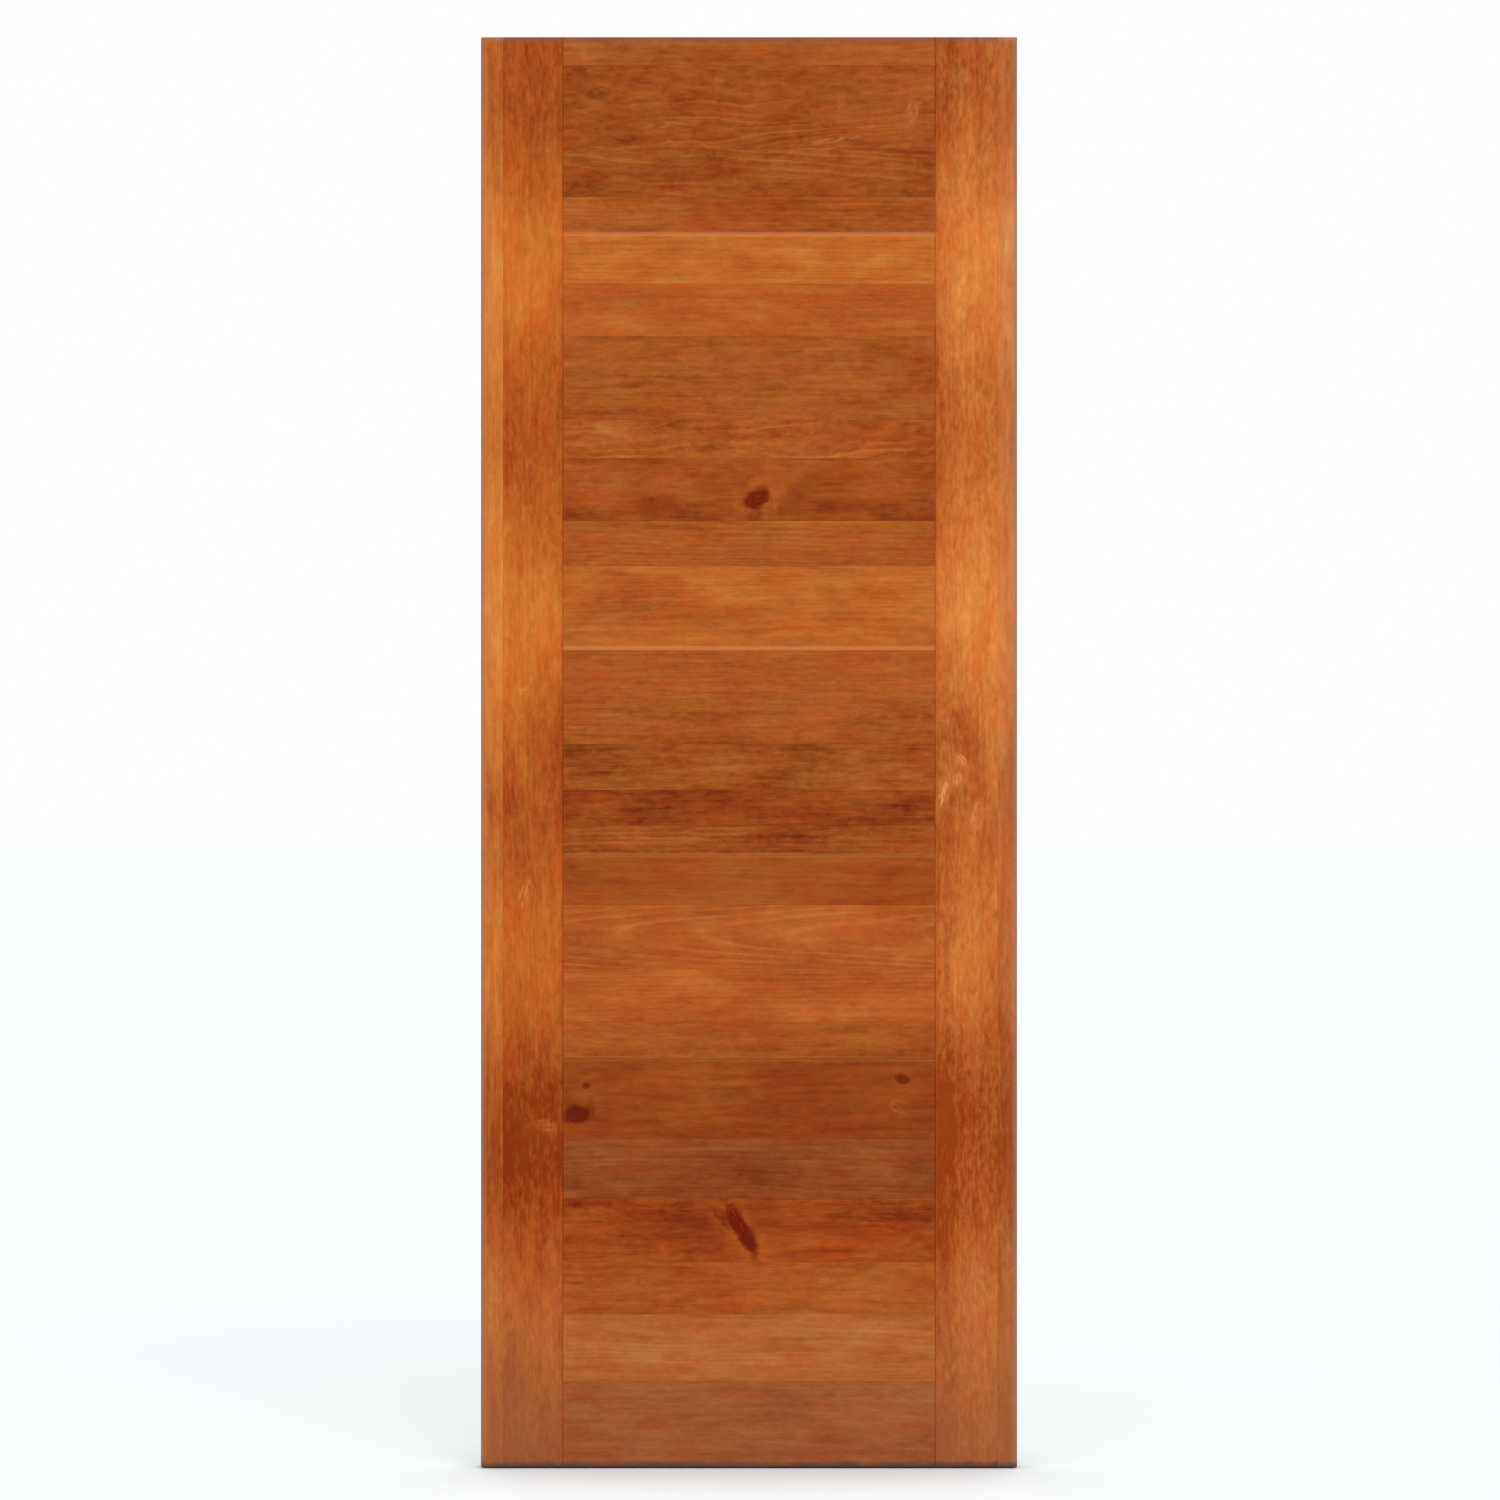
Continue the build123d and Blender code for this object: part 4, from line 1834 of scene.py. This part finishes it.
@dataclass
class StileAssembly:
    """A stile and the strip along its outer edge, on one side of the leaf."""

    side: str
    stile_finish: StainedPine
    strip_finish: StainedPine

    def build(self, groups: PineGroups) -> list[bpy.types.Object]:
        """Makes and dresses both boards.

        Args:
            groups: The shared node groups.

        Returns:
            The stile and the strip.
        """
        left = self.side == "left"
        joint, field_edge = self.joint_place(), field_edges()[0 if left else 1]
        outer_edge = LOW_CORNER.x if left else HIGH_CORNER.x
        thickness = JOINERY.strip_tongue_thickness
        strip_groove = BoardEdge(Corner.GLUED, Rib.GROOVE, thickness, JOINERY.strip_groove_depth)
        tongue = BoardEdge(Corner.GLUED, Rib.TONGUE, thickness, JOINERY.strip_tongue_length)
        plough = BoardEdge(Corner.STILE_V, Rib.GROOVE, JOINERY.tongue_thickness, JOINERY.plough_depth)
        outside = BoardEdge(Corner.EASED)
        stile_edges = (strip_groove, plough) if left else (plough, strip_groove)
        strip_edges = (outside, tongue) if left else (tongue, outside)
        stile = self.board("stile", "stile_pine", self.stile_finish, stile_edges, (joint, field_edge))
        across = (outer_edge, joint)
        strip = self.board("edge_strip", "edge_strip_pine", self.strip_finish, strip_edges, across)
        return finished([stile, strip], groups)

    def joint_place(self) -> float:
        """Returns where the strip meets the stile, across the leaf."""
        low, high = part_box(f"{self.side}_stile")
        return low[0] if self.side == "left" else high[0]

    def board(
        self,
        part: str,
        slot: str,
        finish: StainedPine,
        edges: tuple[BoardEdge, BoardEdge],
        across: Point,
    ) -> Board:
        """One upright board that runs the full height of the leaf.

        Args:
            part: Its name without the side.
            slot: A slot name that the board keeps but nothing uses.
            finish: Its finish.
            edges: Its left and right edges.
            across: Where its two edges lie across the leaf, in either order.

        Returns:
            The board, not yet built.
        """
        return Board(
            node=f"{self.side}_{part}",
            slot=slot,
            finish=finish,
            low_edge=edges[0],
            high_edge=edges[1],
            across_range=(min(across), max(across)),
            along_range=(LOW_CORNER.z, HIGH_CORNER.z),
            upright=True,
            cup=RELIEF.upright_cup,
        )


def field_edges() -> Point:
    """Returns where the field between the stiles starts and ends, across the leaf."""
    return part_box("left_stile")[1][0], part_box("right_stile")[0][0]


@dataclass
class Panel:
    """A panel of staves between two V grooves, or between a groove and an end of the leaf."""

    name: str
    slot: str
    finishes: tuple[StainedPine, ...]

    def build(self, groups: PineGroups) -> list[bpy.types.Object]:
        """Makes and dresses every stave, from the top down, and returns them."""
        staves = [self.stave(number, finish) for number, finish in enumerate(self.finishes, start=1)]
        return finished(staves, groups)

    def stave(self, number: int, finish: StainedPine) -> Board:
        """Returns one stave of the panel.

        Args:
            number: Its place from the top, from 1.
            finish: Its finish.

        Returns:
            The board, not yet built.
        """
        node = f"{self.name}_stave_{number}"
        low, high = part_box(node)
        at_top = abs(high[2] - HIGH_CORNER.z) < JOINERY.side_clearance
        at_foot = abs(low[2] - LOW_CORNER.z) < JOINERY.side_clearance
        top = high[2] if at_top else high[2] - JOINERY.tongue_height
        high_corner = Corner.PANEL_V if number == 1 else Corner.GLUED
        low_corner = Corner.PANEL_V if number == len(self.finishes) else Corner.GLUED
        high_edge = BoardEdge(high_corner, Rib.TONGUE, JOINERY.tongue_thickness, JOINERY.tongue_height)
        low_edge = BoardEdge(low_corner, Rib.GROOVE, JOINERY.tongue_thickness, JOINERY.groove_depth)
        return Board(
            node=node,
            slot=self.slot,
            finish=finish,
            low_edge=BoardEdge(Corner.EASED) if at_foot else low_edge,
            high_edge=BoardEdge(Corner.EASED) if at_top else high_edge,
            across_range=(low[2], top),
            along_range=field_edges(),
            proud=RELIEF.proud * math.sin(RELIEF.proud_turn * finish.seed),
            cup=RELIEF.stave_cup * math.cos(RELIEF.stave_cup_turn * finish.seed),
        )


def panels() -> list[Panel]:
    """The leaf's panels, with each stave's finish.

    Returns:
        The panels from the top down.
    """
    round_knot = Knot(0.4710, 0.7870, 0.058, 0.032, 30.0, swell=4.0)
    under_knot = Knot(0.4600, 0.8140, 0.046, 0.032, 35.0, swell=1.0, boldness=0.6)
    knot_side = Knot(0.5035, 0.7900, 0.038, 0.012, 82.0, Heart.CLOUDED, swell=0.0, boldness=0.8)
    knot_top = Knot(0.4770, 0.7550, 0.042, 0.012, 16.0, Heart.CLOUDED, swell=0.0, boldness=0.7)
    side_knot = Knot(0.1660, 1.8370, 0.050, 0.034, 8.0, swell=3.5, boldness=0.9)
    pin_knot = Knot(0.1795, 1.7890, 0.016, 0.012, 0.0, swell=1.8, boldness=0.65)
    far_knot = Knot(0.7190, 1.7780, 0.030, 0.018, -12.0, swell=3.0, boldness=0.75)
    far_curl = Knot(0.7150, 1.8250, 0.040, 0.026, -30.0, Heart.PALE, swell=2.5)
    side_smear = Knot(0.2080, 1.8160, 0.040, 0.022, -20.0, Heart.CLOUDED, swell=0.0, boldness=0.5)
    spike_long = Knot(0.4460, 2.0360, 0.118, 0.028, -60.0, swell=2.0)
    spike_short = Knot(0.4230, 2.0230, 0.086, 0.022, -44.0, swell=1.5)
    spike_smears = tuple(
        Knot(across, 2.0470, 0.048, 0.030, 0.0, Heart.CLOUDED, swell=0.0, boldness=0.4)
        for across in (0.3980, 0.4990)
    )
    crescent = Knot(0.7340, 0.1290, 0.056, 0.026, 78.0, Heart.CLOUDED, swell=0.3, boldness=1.7)
    small_crescent = Knot(0.6150, 0.1080, 0.036, 0.016, 80.0, Heart.CLOUDED, swell=0.3, boldness=0.7)
    pale_cloud = Knot(0.6500, 0.1240, 0.150, 0.070, 0.0, Heart.CLOUDED, swell=0.0, boldness=0.36)
    pale_eye = Knot(0.3220, 0.1480, 0.110, 0.013, 6.0, Heart.PALE, swell=1.2)
    pale_wave = Knot(0.5950, 0.1770, 0.110, 0.011, 8.0, Heart.PALE, swell=1.0, boldness=1.3)
    pale_tip = Knot(0.5640, 1.5360, 0.110, 0.034, 0.0, Heart.CLOUDED, swell=0.0, boldness=0.30)
    top_knots = (pale_cloud, crescent, small_crescent, pale_eye, pale_wave)
    # Staves beside a V groove get a painted highlight on its flanks, partly thinner stain
    return [
        Panel("top_panel", "dark_panel_pine", (
            StainedPine(Tone.AMBER, Figure.STRAIGHT, 1.0, blotch_weight=2.3, lightness=0.95),
            StainedPine(Tone.RUSSET, Figure.WILD, 2.0, knots=top_knots),
            StainedPine(Tone.RUSSET, Figure.WILD, 3.0, mirrored=True, lightness=0.95),
            StainedPine(Tone.AMBER, Figure.GENTLE, 4.0, side_flank_highlight=0.60),
        )),
        Panel("upper_panel", "light_panel_pine", (
            StainedPine(Tone.HONEY, Figure.GENTLE, 5.0, side_flank_highlight=0.60, blotch_weight=0.9, grain=0.8),
            StainedPine(Tone.ORANGE, Figure.STRAIGHT, 6.0, blotch_weight=0.9, grain=0.8),
            StainedPine(Tone.AMBER, Figure.STRAIGHT, 7.0, mirrored=True, grain=1.15, lightness=0.93),
            StainedPine(Tone.AMBER, Figure.WILD, 8.0),
            StainedPine(
                Tone.RUSSET, Figure.STRAIGHT, 9.0, knots=(under_knot, round_knot, knot_side, knot_top),
                low_side_shade=0.35, blotch_weight=2.4, lightness=1.05,
            ),
            StainedPine(Tone.AMBER, Figure.GENTLE, 10.0),
            StainedPine(
                Tone.HONEY, Figure.GENTLE, 11.0, mirrored=True, side_flank_highlight=0.70, grain=0.8, lightness=0.94,
            ),
        )),
        Panel("middle_panel", "dark_panel_pine", (
            StainedPine(
                Tone.AMBER, Figure.STRAIGHT, 12.0, side_flank_highlight=0.70, blotch_weight=0.9, lightness=1.03,
            ),
            StainedPine(Tone.AMBER, Figure.STRAIGHT, 13.0, mirrored=True, grain=1.2, lightness=0.95),
            StainedPine(Tone.RUSSET, Figure.STRAIGHT, 14.0, grain=1.6, blotch_weight=2.6, lightness=0.92),
            StainedPine(Tone.CHESTNUT, Figure.STRAIGHT, 15.0, grain=1.6, blotch_weight=2.6, lightness=0.98),
            StainedPine(
                Tone.RUSSET, Figure.GENTLE, 16.0, side_flank_highlight=0.28, grain=1.6,
                blotch_weight=2.6, lightness=0.94,
            ),
        )),
        Panel("lower_panel", "light_panel_pine", (
            StainedPine(Tone.RUSSET, Figure.GENTLE, 17.0, side_flank_highlight=0.22, grain=0.7),
            StainedPine(Tone.ORANGE, Figure.CATHEDRAL, 18.0, knots=(pale_tip,), phase=0.63, lightness=0.92),
            StainedPine(Tone.ORANGE, Figure.GENTLE, 19.0, mirrored=True, grain=0.8),
            StainedPine(
                Tone.AMBER, Figure.STRAIGHT, 20.0, side_flank_highlight=0.12, low_side_shade=0.30, lightness=0.97,
            ),
        )),
        Panel("bottom_panel", "bottom_panel_pine", (
            StainedPine(
                Tone.CHESTNUT, Figure.STRAIGHT, 21.0, side_flank_highlight=0.15, lightness=0.95,
                knots=(side_smear, side_knot, pin_knot, far_knot, far_curl),
            ),
            StainedPine(Tone.UMBER, Figure.GENTLE, 22.0, lightness=0.95),
            StainedPine(
                Tone.CHESTNUT, Figure.STRAIGHT, 23.0, knots=(*spike_smears, spike_short, spike_long),
                high_side_shade=0.42, grain=1.4, blotch_weight=2.2, lightness=1.14,
            ),
            StainedPine(Tone.AMBER, Figure.STRAIGHT, 24.0),
            StainedPine(Tone.TAN, Figure.GENTLE, 25.0, blotch_weight=0.9, grain=0.8),
            StainedPine(Tone.WALNUT, Figure.STRAIGHT, 26.0, blotch_weight=0.9, grain=0.8, lightness=1.05),
        )),
    ]


def stiles() -> list[StileAssembly]:
    """The two stiles with their strips, and their finishes.

    Returns:
        The left and the right assembly.
    """
    # The uprights get painted shade on their eased ends and beside their arrises and grooves, and their
    # band weights paint pools of light up their height
    shared = {"grain": 0.75, "foot_haze": 0.42, "end_flank_shade": -0.45, "wear": 0.12, "arris_shade": 0.18}
    stile = {"blotch_weight": 0.9, "foot_shade": 0.60}
    strip = {"blotch_weight": 0.7, "head_shade": 0.26, "border": Tone.EDGE_HAZE}
    dark_swirl = Knot(0.0760, 1.4620, 0.056, 0.024, 75.0, Heart.PALE, swell=1.5)
    low_swirl = Knot(0.1100, 1.8570, 0.040, 0.020, -8.0, Heart.CLOUDED, swell=0.3, boldness=0.6)
    high_spot = Knot(0.0740, 1.1130, 0.022, 0.014, 10.0, Heart.PALE, swell=1.0)
    right_hook = Knot(0.8200, 1.2330, 0.028, 0.014, -52.0, Heart.PALE, swell=0.8, boldness=1.3)
    right_loop = Knot(0.8120, 1.2645, 0.024, 0.018, 80.0, Heart.CLOUDED, swell=1.0, boldness=0.9)
    right_streak = Knot(0.7870, 1.2925, 0.058, 0.013, 72.0, Heart.PALE, swell=0.6, boldness=1.2)
    far_streak = Knot(0.8460, 1.3300, 0.066, 0.022, 84.0, Heart.CLOUDED, swell=0.5, boldness=0.55)
    right_curl = (right_hook, right_loop, right_streak, far_streak)
    return [
        StileAssembly(
            "left",
            StainedPine(
                Tone.STILE_LEFT, Figure.MOTTLED, 31.0, knots=(dark_swirl, low_swirl, high_spot),
                painted_light_weight=0.42, head_shade=0.09, **shared, **stile,
            ),
            StainedPine(
                Tone.STRIP_LEFT, Figure.STRAIGHT, 32.0, painted_light_weight=0.24, foot_shade=0.70,
                **shared, **strip,
            ),
        ),
        StileAssembly(
            "right",
            StainedPine(
                Tone.STILE_RIGHT, Figure.MOTTLED, 33.0, knots=right_curl, painted_light_weight=0.32,
                head_shade=0.14, low_side_shade=0.26, lightness=1.03, **shared, **stile,
            ),
            StainedPine(
                Tone.STRIP_RIGHT, Figure.STRAIGHT, 34.0, painted_light_weight=0.20, foot_shade=0.78, lightness=1.04,
                **shared, **strip,
            ),
        ),
    ]


@dataclass(frozen=True)
class Lamp:
    """A soft, even lamp.

    azimuth is in degrees to the right of square on to the leaf, elevation is in degrees above the horizon,
    and softness is the lamp's width in degrees.
    """

    name: str
    strength: float
    azimuth: float
    elevation: float
    softness: float

    def hang(self) -> None:
        """Puts the lamp into the scene, turned to shine on the leaf."""
        data = bpy.data.lights.new(self.name, "SUN")
        data.energy = self.strength
        data.angle = math.radians(self.softness)
        lamp = placed(self.name, data)
        turn, rise = math.radians(self.azimuth), math.radians(self.elevation)
        level = math.cos(rise)
        towards = Vector((math.sin(turn) * level, -math.cos(turn) * level, math.sin(rise)))
        lamp.rotation_mode = "QUATERNION"
        lamp.rotation_quaternion = towards.to_track_quat("Z", "Y")


@dataclass(frozen=True)
class Studio:
    """A white floor, an even white surround and soft lamps, with the camera square to the leaf."""

    camera_distance: float = 9.0
    sensor: float = 36.0
    world_strength: float = 0.5
    floor_reach: float = 60.0
    floor_gap: float = 0.0025
    floor_colour: tuple[float, ...] = (0.705, 0.745, 0.755, 1.0)
    lamps: tuple[Lamp, ...] = (
        Lamp("overhead_lamp", 2.15, azimuth=180.0, elevation=89.0, softness=16.0),
        Lamp("key_lamp", 0.735, azimuth=22.0, elevation=38.0, softness=34.0),
        Lamp("fill_lamp", 0.385, azimuth=-30.0, elevation=28.0, softness=44.0),
    )

    def build(self) -> None:
        """Makes the floor, the surround, the lamps and the camera."""
        self.floor()
        self.surround()
        for lamp in self.lamps:
            lamp.hang()
        self.camera()

    @staticmethod
    def seen_share(graph: Graph) -> Socket:
        """Tells rays that see the surround from those that light the leaf.

        Args:
            graph: The world's graph.

        Returns:
            1 for rays from the camera, mirrors and glass, and 0 for the light on the leaf.
        """
        path = graph.add("ShaderNodeLightPath", {})
        kinds = ("Is Camera Ray", "Is Glossy Ray", "Is Transmission Ray")
        return graph.total("MAXIMUM", [path.outputs[kind] for kind in kinds])

    def floor(self) -> None:
        """Makes a wide white floor just under the leaf's foot that keeps its shadow."""
        mesh = bpy.data.meshes.new("studio_floor")
        reach = self.floor_reach
        level = LOW_CORNER.z - self.floor_gap
        corners = [(-reach, -reach), (reach, -reach), (reach, reach), (-reach, reach)]
        mesh.from_pydata([(x + LEAF_MIDDLE.x, y, level) for x, y in corners], [], [(0, 1, 2, 3)])
        floor = placed("studio_floor", mesh)
        material = bpy.data.materials.new("white_floor")
        graph = fresh_graph(material)
        matt = graph.add("ShaderNodeBsdfDiffuse", {"Color": self.floor_colour})
        graph.add("ShaderNodeOutputMaterial", {"Surface": matt.outputs[0]})
        mesh.materials.append(material)

    def surround(self) -> None:
        """Makes a world that looks white and lights softly."""
        world = bpy.data.worlds.new("studio")
        graph = fresh_graph(world)
        strength = graph.ramp(self.seen_share(graph), 0.0, 1.0, self.world_strength, 1.0)
        white = graph.add("ShaderNodeBackground", {"Color": (1.0, 1.0, 1.0, 1.0), "Strength": strength})
        graph.add("ShaderNodeOutputWorld", {"Surface": white.outputs[0]})
        bpy.context.scene.world = world

    def camera(self) -> None:
        """Sets the camera square on, framed as the photograph is."""
        data = bpy.data.cameras.new("camera")
        camera = placed("camera", data)
        data.sensor_width = self.sensor
        data.lens = self.sensor * self.camera_distance / (PHOTO_SIDE * METRES_PER_PIXEL)
        right = (PHOTO_SIDE - PHOTO_LEAF_LEFT - PHOTO_LEAF_RIGHT) / 2 * METRES_PER_PIXEL
        up = (PHOTO_LEAF_TOP + PHOTO_LEAF_FOOT - PHOTO_SIDE) / 2 * METRES_PER_PIXEL
        front = LOW_CORNER.y - self.camera_distance
        camera.location = (LEAF_MIDDLE.x + right, front, LEAF_MIDDLE.z + up)
        camera.rotation_euler = (math.pi / 2, 0.0, 0.0)
        bpy.context.scene.camera = camera


def main() -> None:
    """Builds every board from the stiles in, then the studio."""
    logging.basicConfig(level=logging.INFO, format="%(name)s: %(message)s")
    bpy.context.scene.view_settings.view_transform = "Standard"
    groups = PineGroups()
    for assembly in [*stiles(), *panels()]:
        for piece in assembly.build(groups):
            log.info("%s has %d faces", piece.name, len(piece.data.polygons))
    Studio().build()


if __name__ == "__main__":
    main()
